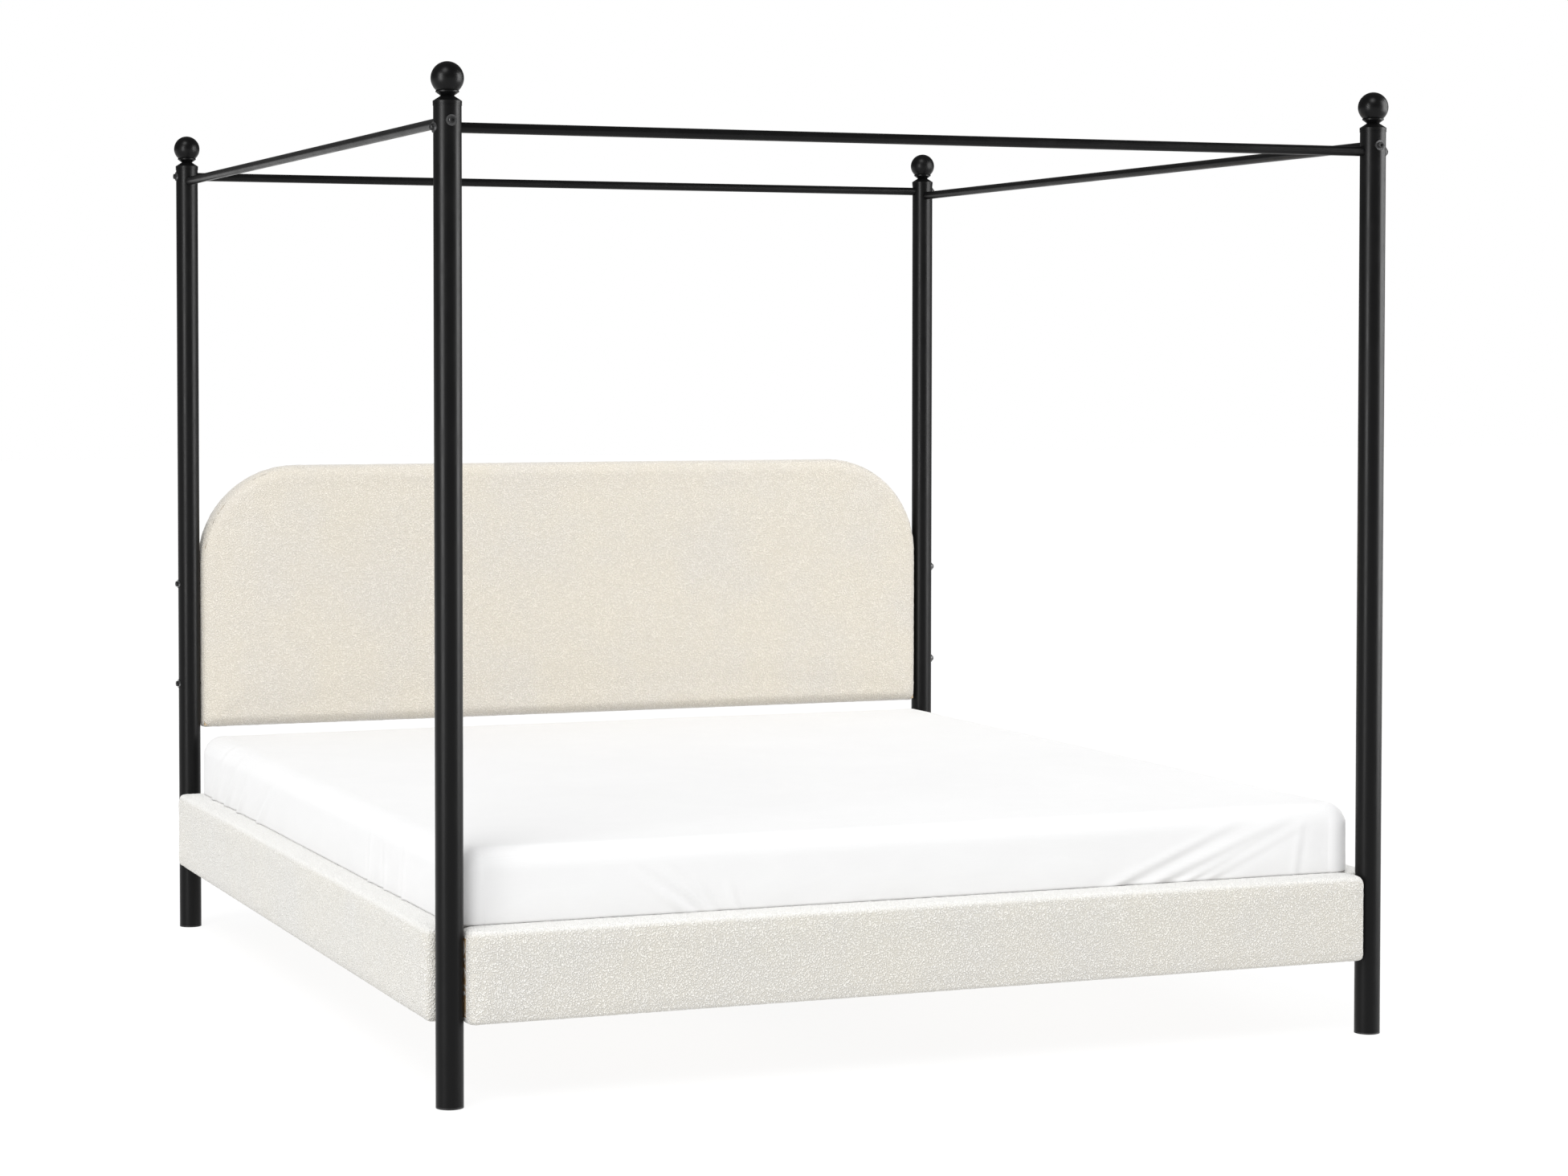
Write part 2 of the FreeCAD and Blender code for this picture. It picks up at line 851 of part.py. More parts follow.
def arched_panel(label, half_width, low, high, corner_radius, front, back):
    """Upright panel with two rounded top corners, between a front and a back plane."""
    body = new_body(label)
    sketch = new_sketch(body, "XZ_Plane", -front)
    rectangle(sketch, -half_width, half_width, low, high)
    pad(body, sketch, back - front, backwards=True)
    fillet(
        body,
        corner_radius,
        lambda edge: runs_along(edge, Y_AXIS) and on_level(edge, high.number),
    )
    return body


def make_headboard_padding():
    padding = arched_panel(
        "headboard_block",
        half_foot_rail,
        headboard_bottom,
        headboard_top,
        size.headboard_corner,
        -size.headboard_depth / 2,
        size.headboard_depth / 2,
    )
    fillet(
        padding,
        size.headboard_edge,
        lambda edge: all(
            abs(vertex.Point.y + size.headboard_depth.number / 2) < 0.001 for vertex in edge.Vertexes
        ),
    )
    hollow = arched_panel(
        "headboard_hollow",
        inner_half_width,
        inner_bottom,
        inner_top,
        size.headboard_corner - size.headboard_border,
        board_front,
        size.headboard_depth,
    )
    bolt_ways = []
    for level in headboard_bolt_levels:
        bolt_ways.append(rod(bolt_hole_radius, post_x * 2, -post_x, 0, level, "x"))
    cover = subtract(
        "headboard_padding", padding, join("headboard_cutter", [hollow] + bolt_ways)
    )
    place(cover, 0, post_y)
    piece(cover, "headboard_padding")


def make_inner_panel(label, front, back):
    panel = arched_panel(
        label,
        inner_half_width,
        inner_bottom,
        inner_top,
        size.headboard_corner - size.headboard_border,
        front,
        back,
    )
    place(panel, 0, post_y)
    piece(panel, label)


def make_stile(label, side):
    """Upright timber batten behind the board; the post bolts screw into its outer edge."""
    low = inner_bottom
    high = headboard_top - size.headboard_corner
    outer_turn = 0 if side < 0 else 180
    facing = -side
    body = block(
        label, 0, size.batten_width, *ordered(batten_front * facing, batten_back * facing), low, high
    )
    holes = new_sketch(body, "YZ_Plane")
    for level in headboard_bolt_levels:
        circle(holes, size.insert_diameter / 2, 0, level)
    pocket(body, holes, length=size.headboard_insert_length + size.insert_flange, backwards=True)
    place(body, side * inner_half_width, post_y, 0, outer_turn)
    piece(body, label)


def ordered(one, other):
    return (one, other) if one.number < other.number else (other, one)


def make_headboard_cross_rails():
    between_stiles = inner_half_width - size.batten_width
    half_lengths = {
        "low": between_stiles,
        "middle": between_stiles,
        "high": inner_half_width - size.headboard_corner,
    }
    bottoms = {
        "low": inner_bottom,
        "middle": headboard_top - size.headboard_corner - size.batten_width,
        "high": inner_top - size.batten_width,
    }
    for name, half_length in half_lengths.items():
        label = "headboard_cross_rail_" + name
        low = bottoms[name]
        body = block(
            label, -half_length, half_length, batten_front, batten_back, low, low + size.batten_width
        )
        place(body, 0, post_y)
        piece(body, label)


make_headboard_padding()
make_inner_panel("headboard_board", board_front, batten_front)
make_inner_panel("headboard_back_panel", batten_back, back_panel_back)
make_stile("headboard_stile_left", -1)
make_stile("headboard_stile_right", 1)
make_headboard_cross_rails()

headboard_insert = make_sleeve(
    "headboard_insert",
    size.insert_diameter / 2 - size.thread_clearance,
    size.headboard_insert_length,
    post_radius + size.headboard_border + size.insert_flange,
)
group("headboard_inserts", headboard_insert, headboard_bolt_spots())


# ---------------------------------------------------------------- slat base


def make_ledge(name, turn, side):
    """Steel angle screwed along the inside of a side rail; the slat holders stand on it."""
    label = "slat_ledge_" + name
    body = new_body(label)
    section = new_sketch(body, "YZ_Plane")
    back = core_face
    upright = core_face + size.ledge_thickness
    reach = core_face + size.ledge_width
    corners = [
        (back, ledge_top - size.ledge_leg),
        (upright, ledge_top - size.ledge_leg),
        (upright, ledge_top - size.ledge_thickness),
        (reach, ledge_top - size.ledge_thickness),
        (reach, ledge_top),
        (back, ledge_top),
    ]
    outline(section, corners)
    pad(body, section, ledge_half_length * 2, midplane=True)
    holes = new_sketch(body, "XZ_Plane")
    for distance in ledge_screw_places():
        hole = size.screw_shank_diameter / 2 + size.hole_clearance
        circle(holes, hole, distance, ledge_screw_level)
    pocket(body, holes)
    place(body, side * post_x, 0, 0, turn)
    piece(body, label)


make_ledge("left", 270, -1)
make_ledge("right", 90, 1)

ledge_screw = make_short_bolt(
    "ledge_screw",
    size.screw_shank_diameter / 2,
    size.ledge_screw_length,
    size.screw_shank_diameter,
    size.screw_shank_diameter / 2,
    size.ledge_thickness,
)
ledge_screw_spots = []
for side_sign, side_turn in ((-1, 180), (1, 0)):
    for along in ledge_screw_places():
        ledge_screw_spots.append(
            {
                "x": side_sign * (post_x - core_face),
                "y": along,
                "z": ledge_screw_level,
                "turn": side_turn,
            }
        )
group("ledge_screws", ledge_screw, ledge_screw_spots)


def make_centre_beam():
    """Steel box tube down the middle of the bed, from the foot rail to the head cross rail."""
    body = new_body("centre_beam")
    section = new_sketch(body, "XZ_Plane")
    half_width = size.beam_width / 2
    wall = size.tube_wall
    low = ledge_top - size.beam_height
    rectangle(section, -half_width, half_width, low, ledge_top)
    rectangle(section, -half_width + wall, half_width - wall, low + wall, ledge_top - wall)
    pad(body, section, beam_half_length * 2, midplane=True)
    piece(body, "centre_beam")


beam_half_length = post_y - core_face - size.hanger_thickness - size.beam_end_gap
make_centre_beam()


def make_beam_hanger(label, turn, side):
    """Steel stirrup on a cross rail that the end of the centre beam drops into."""
    wall = size.hanger_thickness
    inner_half_width = size.beam_width / 2 + size.fit_clearance
    outer_half_width = inner_half_width + wall
    floor_top = ledge_top - size.beam_height
    body = new_body(label)
    cradle = new_sketch(body, "XZ_Plane", -core_face)
    cradle_corners = [
        (-outer_half_width, floor_top - wall),
        (outer_half_width, floor_top - wall),
        (outer_half_width, ledge_top),
        (inner_half_width, ledge_top),
        (inner_half_width, floor_top),
        (-inner_half_width, floor_top),
        (-inner_half_width, ledge_top),
        (-outer_half_width, ledge_top),
    ]
    outline(cradle, cradle_corners)
    pad(body, cradle, size.hanger_length, backwards=True)
    back_plate = new_sketch(body, "XZ_Plane", -core_face)
    rectangle(back_plate, -outer_half_width, outer_half_width, floor_top - wall, ledge_top)
    pad(body, back_plate, wall, backwards=True)
    place(body, 0, side * post_y, 0, turn)
    piece(body, label)


make_beam_hanger("beam_hanger_foot", 0, -1)
make_beam_hanger("beam_hanger_head", 180, 1)

slat_outer_end = post_x - core_face - size.ledge_thickness - size.slat_end_gap
slat_inner_end = size.slat_end_gap + size.holder_wall
holder_half_breadth = size.slat_width / 2 + size.fit_clearance + size.holder_wall
first_slat = holder_half_breadth + size.slat_row_margin - ledge_half_length
slat_pitch = -2 * first_slat / (size.slat_count - 1)


def repeat_along_bed(body):
    """Repeat the body's last feature once for each slat, towards the head."""
    original = body.Tip
    feature = body.newObject("PartDesign::LinearPattern", "slat_row")
    feature.Originals = [original]
    feature.Direction = (datum(body, "Y_Axis"), [""])
    bind(feature, "Length", slat_pitch * (size.slat_count - 1))
    bind(feature, "Occurrences", size.slat_count)
    body.Tip = feature
    doc.recompute()


def slat_row_body(label, x_ends, half_breadth, low, high):
    """One row of blocks, one at each slat, between two X positions."""
    left, right = x_ends
    body = block(label, left, right, -half_breadth, half_breadth, low, high)
    repeat_along_bed(body)
    return body


def make_slats(label, side):
    ends = ordered(slat_outer_end * side, slat_inner_end * side)
    body = slat_row_body(label, ends, size.slat_width / 2, slat_bottom, size.slat_level)
    place(body, 0, first_slat)
    piece(body, label)


def make_slat_holders(label, side, outer_end, inner_end):
    """Plastic cups, one under each slat end: a base, two cheeks and an end wall."""
    slot_half = size.slat_width / 2 + size.fit_clearance
    cup_ends = ordered(outer_end * side, inner_end * side)
    cups = slat_row_body(label + "_cups", cup_ends, holder_half_breadth, ledge_top, size.slat_level)
    at_centre = inner_end is holder_hub
    slot_start = slat_inner_end - size.fit_clearance if at_centre else inner_end - size.holder_wall
    slot_end = outer_end + size.holder_wall if at_centre else slat_outer_end + size.fit_clearance
    slot_ends = ordered(slot_start * side, slot_end * side)
    slots = slat_row_body(
        label + "_slots", slot_ends, slot_half, slat_bottom, size.slat_level + size.holder_wall
    )
    return place(subtract(label, cups, slots), 0, first_slat)


holder_rim = slat_outer_end + size.holder_wall
holder_hub = slat_inner_end - size.holder_wall
centre_holders = []
for side_name, side_sign in (("left", -1), ("right", 1)):
    make_slats("slats_" + side_name, side_sign)
    outer_label = "slat_holders_outer_" + side_name
    outer_holders = make_slat_holders(
        outer_label, side_sign, holder_rim, holder_rim - size.holder_length
    )
    piece(outer_holders, outer_label)
    centre_holders.append(
        make_slat_holders(
            "slat_holders_centre_" + side_name, side_sign, size.beam_width / 2, holder_hub
        )
    )
centre_holder_pair = doc.addObject("Part::Compound", "slat_holders_centre")
centre_holder_pair.Links = centre_holders
piece(centre_holder_pair, "slat_holders_centre")


# ---------------------------------------------------------------- centre legs

leg_top = ledge_top - size.beam_height
leg_bore_radius = size.leg_diameter / 2 - size.leg_wall
plug_radius = leg_bore_radius - size.fit_clearance
stud_radius = size.foot_stud_diameter / 2


def make_leg(label, side):
    """Round tube leg with a square top plate welded on, under the centre beam."""
    tube = new_body(label + "_tube")
    ring = new_sketch(tube, "XY_Plane", size.leg_bottom)
    circle(ring, size.leg_diameter / 2)
    circle(ring, leg_bore_radius)
    pad(tube, ring, leg_top - size.leg_plate_thickness - size.leg_bottom)
    half_plate = size.leg_plate / 2
    plate = block(
        label + "_plate",
        -half_plate,
        half_plate,
        -half_plate,
        half_plate,
        leg_top - size.leg_plate_thickness,
        leg_top,
    )
    leg = join(label, [tube, plate])
    place(leg, 0, side * size.leg_spacing / 2)
    piece(leg, label)


def make_leg_plug():
    """Plastic plug in the bottom of the leg, threaded for the stud of the foot."""
    body = new_body("leg_plug")
    ring = new_sketch(body, "XY_Plane", size.leg_bottom)
    circle(ring, plug_radius)
    circle(ring, stud_radius + size.thread_clearance)
    pad(body, ring, size.leg_plug_length)
    return body


def make_levelling_foot(label, side):
    """Plastic disc foot moulded on a threaded stud."""
    rim = size.foot_diameter / 2
    shoulder = rim * 0.6
    top = size.foot_height + size.foot_stud_length
    body = new_body(label)
    sketch = new_sketch(body, "XZ_Plane")
    profile = [
        (0, 0),
        (rim, 0),
        (rim, size.foot_height / 2),
        (shoulder, size.foot_height),
        (stud_radius, size.foot_height),
        (stud_radius, top),
        (0, top),
    ]
    outline(sketch, profile)
    revolve(body, sketch)
    place(body, 0, side * size.leg_spacing / 2)
    piece(body, label)


for leg_name, leg_side in (("foot_end", -1), ("head_end", 1)):
    make_leg("centre_leg_" + leg_name, leg_side)
    make_levelling_foot("levelling_foot_" + leg_name, leg_side)

group("centre_leg_plugs", make_leg_plug(), [{"y": side * size.leg_spacing / 2} for side in (-1, 1)])


# ---------------------------------------------------------------- mattress and fitted sheet


def soft_block(label, half_width, half_length, low, high, corner_radius, edge_radius, round_bottom):
    body = block(label, -half_width, half_width, -half_length, half_length, low, high)
    fillet(body, corner_radius, lambda edge: runs_along(edge, Z_AXIS))
    fillet(
        body,
        edge_radius,
        lambda edge: on_level(edge, high.number) or (round_bottom and on_level(edge, low.number)),
    )
    return body


def make_mattress():
    mattress = soft_block(
        "mattress",
        size.mattress_width / 2,
        size.mattress_length / 2,
        mattress_bottom,
        mattress_top,
        size.mattress_corner,
        size.mattress_edge,
        True,
    )
    piece(mattress, "mattress")


def make_fitted_sheet():
    """Thin cloth over the top and down the sides of the mattress, open below."""
    layers = []
    for name, gap, low in (
        ("cloth", size.soft_clearance + size.sheet_thickness, mattress_bottom + size.mattress_edge),
        ("space", size.soft_clearance, mattress_bottom - size.mattress_edge),
    ):
        layer = soft_block(
            "sheet_" + name,
            size.mattress_width / 2 + gap,
            size.mattress_length / 2 + gap,
            low,
            mattress_top + gap,
            size.mattress_corner + gap,
            size.mattress_edge + gap,
            False,
        )
        layers.append(layer)
    piece(subtract("fitted_sheet", *layers), "fitted_sheet")


make_mattress()
make_fitted_sheet()


# ---------------------------------------------------------------- checks and files


def check_document():
    doc.recompute()
    for item in doc.Objects:
        for word in ("Invalid", "Error"):
            if word in item.State:
                raise RuntimeError("%s (%s) is %s" % (item.Name, item.Label, item.State))
    for item in PIECES:
        shape = item.Shape
        if shape.isNull() or not shape.isValid() or not shape.Solids:
            raise RuntimeError("%s has no sound shape" % item.Label)


def write_pieces():
    os.makedirs("parts", exist_ok=True)
    for item in PIECES:
        item.Shape.exportStep(os.path.join("parts", item.Label + ".step"))


check_document()
write_pieces()
print(len(PIECES), "nodes,", sum(len(item.Shape.Solids) for item in PIECES), "solids")
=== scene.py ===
import math

import bpy
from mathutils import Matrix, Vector, noise


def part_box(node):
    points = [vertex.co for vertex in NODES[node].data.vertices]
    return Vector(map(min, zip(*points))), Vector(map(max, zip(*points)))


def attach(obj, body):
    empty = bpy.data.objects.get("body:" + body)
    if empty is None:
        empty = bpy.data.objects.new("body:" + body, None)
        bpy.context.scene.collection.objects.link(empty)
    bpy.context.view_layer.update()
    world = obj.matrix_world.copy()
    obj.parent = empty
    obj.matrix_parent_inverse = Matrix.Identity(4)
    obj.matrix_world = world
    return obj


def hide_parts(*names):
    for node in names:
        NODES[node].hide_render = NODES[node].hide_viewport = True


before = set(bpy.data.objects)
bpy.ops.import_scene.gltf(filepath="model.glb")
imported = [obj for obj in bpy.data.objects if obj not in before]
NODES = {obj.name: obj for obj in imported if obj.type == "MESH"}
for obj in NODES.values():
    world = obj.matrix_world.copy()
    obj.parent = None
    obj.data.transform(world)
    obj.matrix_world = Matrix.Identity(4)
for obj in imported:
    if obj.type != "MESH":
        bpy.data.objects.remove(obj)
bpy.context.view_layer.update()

# Four poster canopy bed: black powder coated posts and rails, boucle headboard and rails,
# a mattress in a fitted sheet. Metres, with the floor at z = 0 and the foot end at -y.
RAIL_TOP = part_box("foot_rail_cover")[1].z
MITRE = 0.011  # chamfer on a low rail's inner upright edges, where it meets its neighbour
NEARLY = 0.001  # how close two places are when they count as the same


# ------------------------------------------------------------------ bench tools

def put_down_everything():
    if bpy.context.object and bpy.context.object.mode != "OBJECT":
        bpy.ops.object.mode_set(mode="OBJECT")
    bpy.ops.object.select_all(action="DESELECT")


def take(piece):
    """Makes this piece the only one in hand."""
    put_down_everything()
    piece.select_set(True)
    bpy.context.view_layer.objects.active = piece


def settle(piece):
    """Leaves the piece's object at the origin, with its place in its mesh."""
    take(piece)
    bpy.ops.object.transform_apply(location=True, rotation=True, scale=True)


def foam_block(name, low, high):
    middle = [(a + b) / 2 for a, b in zip(low, high)]
    size = [b - a for a, b in zip(low, high)]
    put_down_everything()
    bpy.ops.mesh.primitive_cube_add(size=1, location=middle, scale=size)
    block = bpy.context.object
    block.name = name
    settle(block)
    return block


def choose_edges(piece, wanted):
    """Selects the edges whose two ends pass the test, and goes into edit mode."""
    take(piece)
    bpy.ops.object.mode_set(mode="EDIT")
    bpy.ops.mesh.select_mode(type="EDGE")
    bpy.ops.mesh.select_all(action="DESELECT")
    bpy.ops.object.mode_set(mode="OBJECT")
    points = piece.data.vertices
    for edge in piece.data.edges:
        one, other = (points[i].co for i in edge.vertices)
        edge.select = wanted(one, other)
    bpy.ops.object.mode_set(mode="EDIT")


def round_edges(piece, wanted, radius, segments):
    choose_edges(piece, wanted)
    bpy.ops.mesh.bevel(offset=radius, segments=segments, affect="EDGES", clamp_overlap=False)
    bpy.ops.object.mode_set(mode="OBJECT")


def work(piece, kind, **settings):
    """Adds a modifier, sets it and applies it."""
    take(piece)
    modifier = piece.modifiers.new(kind.lower(), kind)
    for key, value in settings.items():
        setattr(modifier, key, value)
    bpy.ops.object.modifier_apply(modifier=modifier.name)


def soften_shading(piece, angle=60):
    take(piece)
    bpy.ops.object.shade_smooth_by_angle(angle=math.radians(angle))


def finish_piece(piece, material, body, stands_for=()):
    piece.data.materials.clear()
    piece.data.materials.append(material)
    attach(piece, body)
    if stands_for:
        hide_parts(*stands_for)


# ------------------------------------------------------------------ camera, floor and light

def set_camera():
    data = bpy.data.cameras.new("camera")
    data.sensor_width = 36
    data.lens = 77.61
    data.shift_x = 0.0594
    data.shift_y = -0.0676
    data.clip_end = 200
    camera = bpy.data.objects.new("camera", data)
    bpy.context.collection.objects.link(camera)
    camera.location = (-2.6675, -6.7320, 1.3096)
    camera.rotation_euler = (math.radians(88.034), 0, math.radians(-20.99))
    bpy.context.scene.camera = camera


def softbox(name, place, aim, width, height, power):
    data = bpy.data.lights.new(name, "AREA")
    data.shape = "RECTANGLE"
    data.size = width
    data.size_y = height
    data.energy = power
    lamp = bpy.data.objects.new(name, data)
    bpy.context.collection.objects.link(lamp)
    lamp.location = place
    lamp.rotation_euler = (Vector(aim) - Vector(place)).to_track_quat("-Z", "Y").to_euler()
    return lamp


def high_lamp(direction, strength):
    """A broad soft lamp far off, so that the floor is lit evenly."""
    data = bpy.data.lights.new("high_lamp", "SUN")
    data.energy = strength
    data.angle = math.radians(27)
    lamp = bpy.data.objects.new("high_lamp", data)
    bpy.context.collection.objects.link(lamp)
    lamp.rotation_euler = Vector(direction).to_track_quat("Z", "Y").to_euler()


WALL_LIGHT = 0.80
WALL_GLINT = 0.16
WALL_WHITE = 1.0


def light_the_studio():
    """Walls that look white but give less light, and least of all in the gloss. A high soft
    lamp, two tall strips, and two wide panels that only the gloss on posts and balls can see."""
    world = bpy.data.worlds.new("white_studio")
    world.use_nodes = True
    tree = world.node_tree
    rays = tree.nodes.new("ShaderNodeLightPath")
    for strength, kind in (
        (WALL_LIGHT, None),
        (WALL_GLINT, "Is Glossy Ray"),
        (WALL_WHITE, "Is Camera Ray"),
    ):
        walls = tree.nodes.new("ShaderNodeBackground")
        walls.inputs["Color"].default_value = (1, 1, 1, 1)
        walls.inputs["Strength"].default_value = strength
        if kind is None:
            seen = walls
            continue
        either = tree.nodes.new("ShaderNodeMixShader")
        tree.links.new(rays.outputs[kind], either.inputs[0])
        tree.links.new(seen.outputs[0], either.inputs[1])
        tree.links.new(walls.outputs[0], either.inputs[2])
        seen = either
    tree.links.new(seen.outputs[0], tree.nodes["World Output"].inputs["Surface"])
    bpy.context.scene.world = world
    bpy.context.scene.view_settings.view_transform = "Standard"
    high_lamp((-0.40, -0.48, 0.78), 1.45)
    softbox("left_strip", (-5.9, -3.5, 2.3), (0, 0, 1.2), 0.9, 4.0, 55)
    panels = (
        softbox("left_panel", (-5.6, -3.3, 2.2), (-0.5, -0.8, 1.2), 2.0, 4.2, 290),
        softbox("right_panel", (4.7, -3.0, 2.2), (0.2, -0.9, 1.2), 2.6, 4.2, 400),
    )
    for panel in panels:
        panel.visible_diffuse = False
    softbox("right_strip", (5.5, -0.5, 2.4), (0, 0, 1.2), 1.0, 4.0, 85)


def lay_floor(material):
    put_down_everything()
    bpy.ops.mesh.primitive_plane_add(size=80, location=(0, 0, -0.0005))
    floor = bpy.context.object
    floor.name = "studio_floor"
    floor.data.materials.append(material)


# ------------------------------------------------------------------ shader groups

class Wiring:
    """Short hand for adding and joining nodes in one tree."""

    def __init__(self, tree):
        self.tree = tree

    def add(self, kind, **values):
        node = self.tree.nodes.new(kind)
        for key, value in values.items():
            setattr(node, key, value)
        return node

    def feed(self, node, socket, source):
        target = node.inputs[socket]
        if isinstance(source, bpy.types.NodeSocket):
            self.tree.links.new(source, target)
        else:
            target.default_value = source

    def sum(self, operation, *values):
        node = self.add("ShaderNodeMath", operation=operation)
        for index, value in enumerate(values):
            self.feed(node, index, value)
        return node.outputs[0]

    def blend(self, amount, one, other, way="MIX"):
        node = self.add("ShaderNodeMix", data_type="RGBA", blend_type=way)
        self.feed(node, 0, amount)
        self.feed(node, 6, one)
        self.feed(node, 7, other)
        return node.outputs[2]

    def span(self, value, low, high, to_low=0.0, to_high=1.0):
        node = self.add("ShaderNodeMapRange", interpolation_type="SMOOTHSTEP")
        for index, number in enumerate((value, low, high, to_low, to_high)):
            self.feed(node, index, number)
        return node.outputs[0]

    def noise(self, vector, scale, detail=2.0, rough=0.5, colour=False):
        node = self.add("ShaderNodeTexNoise")
        self.feed(node, "Vector", vector)
        self.feed(node, "Scale", scale)
        self.feed(node, "Detail", detail)
        self.feed(node, "Roughness", rough)
        return node.outputs["Color" if colour else "Fac"]

    def stretch(self, vector, scale, turn=(0, 0, 0)):
        node = self.add("ShaderNodeMapping")
        self.feed(node, "Vector", vector)
        node.inputs["Rotation"].default_value = turn
        node.inputs["Scale"].default_value = scale
        return node.outputs[0]


def shader_group(name, inputs, outputs):
    """An empty node group with named sockets: its wiring, its inputs and its outputs."""
    tree = bpy.data.node_groups.new(name, "ShaderNodeTree")
    kinds = {"colour": "NodeSocketColor", "number": "NodeSocketFloat", "vector": "NodeSocketVector"}
    for label, kind, value in inputs:
        socket = tree.interface.new_socket(label, in_out="INPUT", socket_type=kinds[kind])
        if kind != "vector":
            socket.default_value = value
    for label, kind in outputs:
        tree.interface.new_socket(label, in_out="OUTPUT", socket_type=kinds[kind])
    wiring = Wiring(tree)
    return wiring, wiring.add("NodeGroupInput").outputs, wiring.add("NodeGroupOutput")


def boucle_loops_group():
    """Nubbly looped yarn: warped cells for loops, clumps of them, and a slow change of tint, with
    painted shade in the hollows between loops and painted light along the top edge above a given
    height.
    """
    w, given, out = shader_group(
        "boucle loops",
        [
            ("Vector", "vector", None),
            ("Loop Size", "number", 0.004),
            ("Crest Tint", "colour", (0.9, 0.88, 0.83, 1)),
            ("Hollow Shade Tint", "colour", (0.7, 0.65, 0.56, 1)),
            ("Mottle", "number", 0.3),
            # painted light from above: over this height the pile takes the lighter tint below
            ("Painted Light Above", "number", 10.0),
            ("Painted Light Tint", "colour", (0.95, 0.945, 0.92, 1)),
        ],
        [("Tint", "colour"), ("Roughness", "number"), ("Height", "number")],
    )
    scale = w.sum("DIVIDE", 1.0, given["Loop Size"])
    swirl = w.noise(given["Vector"], w.sum("MULTIPLY", scale, 0.6), 2, 0.6, colour=True)
    shift = w.add("ShaderNodeVectorMath", operation="MULTIPLY_ADD")
    reach = w.sum("MULTIPLY", given["Loop Size"], 0.8)
    pull = w.add("ShaderNodeCombineXYZ")
    for axis in range(3):
        w.feed(pull, axis, reach)
    w.feed(shift, 0, swirl)
    w.feed(shift, 1, pull.outputs[0])
    w.feed(shift, 2, given["Vector"])
    cells = w.add("ShaderNodeTexVoronoi", feature="SMOOTH_F1")
    w.feed(cells, "Vector", shift.outputs[0])
    w.feed(cells, "Scale", scale)
    w.feed(cells, "Smoothness", 0.4)
    loop = w.span(cells.outputs["Distance"], 0.08, 0.75, 1.0, 0.0)
    clump = w.noise(given["Vector"], w.sum("MULTIPLY", scale, 0.28), 3, 0.6)
    clump = w.span(clump, 0.3, 0.7)
    fuzz = w.noise(given["Vector"], w.sum("MULTIPLY", scale, 3.1), 3, 0.7)
    height = w.sum("ADD", w.sum("MULTIPLY", loop, 0.76), w.sum("MULTIPLY", clump, 0.05))
    height = w.sum("ADD", height, w.sum("MULTIPLY", fuzz, 0.18))
    # painted shade: the hollows between the loops are tinted darker than the crests
    tint = w.blend(w.span(height, 0.2, 0.8), given["Hollow Shade Tint"], given["Crest Tint"])
    patch = w.span(w.noise(given["Vector"], 5.5, 3, 0.55), 0.3, 0.72)
    warm = w.blend(patch, (1.0, 0.985, 0.95, 1), (0.965, 0.965, 0.975, 1))
    small = w.span(w.noise(given["Vector"], 140, 3, 0.6), 0.3, 0.7, 0.965, 1.02)
    grey = w.add("ShaderNodeCombineColor")
    for channel in range(3):
        w.feed(grey, channel, small)
    mottled = w.blend(1.0, warm, grey.outputs[0], "MULTIPLY")
    tint = w.blend(given["Mottle"], tint, w.blend(1.0, tint, mottled, "MULTIPLY"))
    # painted light: the pile is tinted lighter along the top edge, where the light from above falls on
    # it
    parts = w.add("ShaderNodeSeparateXYZ")
    w.feed(parts, 0, given["Vector"])
    above = w.sum("SUBTRACT", parts.outputs[2], given["Painted Light Above"])
    painted_top_light = w.sum("MULTIPLY", w.span(above, 0.0, 0.011), w.span(height, 0.0, 0.6, 0.65, 0.95))
    w.feed(out, "Tint", w.blend(painted_top_light, tint, given["Painted Light Tint"]))
    w.feed(out, "Roughness", w.span(height, 0.1, 0.9, 1.0, 0.86))
    w.feed(out, "Height", height)
    return w.tree


def plain_weave_group():
    """Over and under threads, with slubs where a thread runs thick, and painted shade in the gaps
    between threads.
    """
    w, given, out = shader_group(
        "plain weave",
        [
            ("Vector", "vector", None),
            ("Thread Size", "number", 0.0008),
            ("Thread Tint", "colour", (0.9, 0.9, 0.9, 1)),
            ("Gap Shade Tint", "colour", (0.8, 0.8, 0.8, 1)),
        ],
        [("Tint", "colour"), ("Roughness", "number"), ("Height", "number")],
    )
    turns = w.sum("DIVIDE", math.pi, given["Thread Size"])
    parts = w.add("ShaderNodeSeparateXYZ")
    w.feed(parts, 0, given["Vector"])
    waves = [w.sum("SINE", w.sum("MULTIPLY", parts.outputs[i], turns)) for i in range(3)]
    pairs = [w.sum("MULTIPLY", waves[a], waves[b]) for a, b in ((0, 1), (1, 2), (0, 2))]
    weave = w.sum("ADD", w.sum("ADD", pairs[0], pairs[1]), pairs[2])
    slub = w.noise(w.stretch(given["Vector"], (40, 420, 420)), 1.0, 2, 0.6)
    height = w.sum("ADD", w.span(weave, -1.2, 1.2, 0.0, 0.8), w.sum("MULTIPLY", slub, 0.4))
    # painted shade: the gaps between the threads are tinted darker than the threads
    tint = w.blend(w.span(height, 0.1, 1.0), given["Gap Shade Tint"], given["Thread Tint"])
    cloudy = w.span(w.noise(given["Vector"], 3.0, 2, 0.5), 0.25, 0.75, 0.985, 1.0)
    grey = w.add("ShaderNodeCombineColor")
    for channel in range(3):
        w.feed(grey, channel, cloudy)
    w.feed(out, "Tint", w.blend(1.0, tint, grey.outputs[0], "MULTIPLY"))
    w.feed(out, "Roughness", w.span(height, 0.0, 1.0, 0.95, 0.8))
    w.feed(out, "Height", height)
    return w.tree


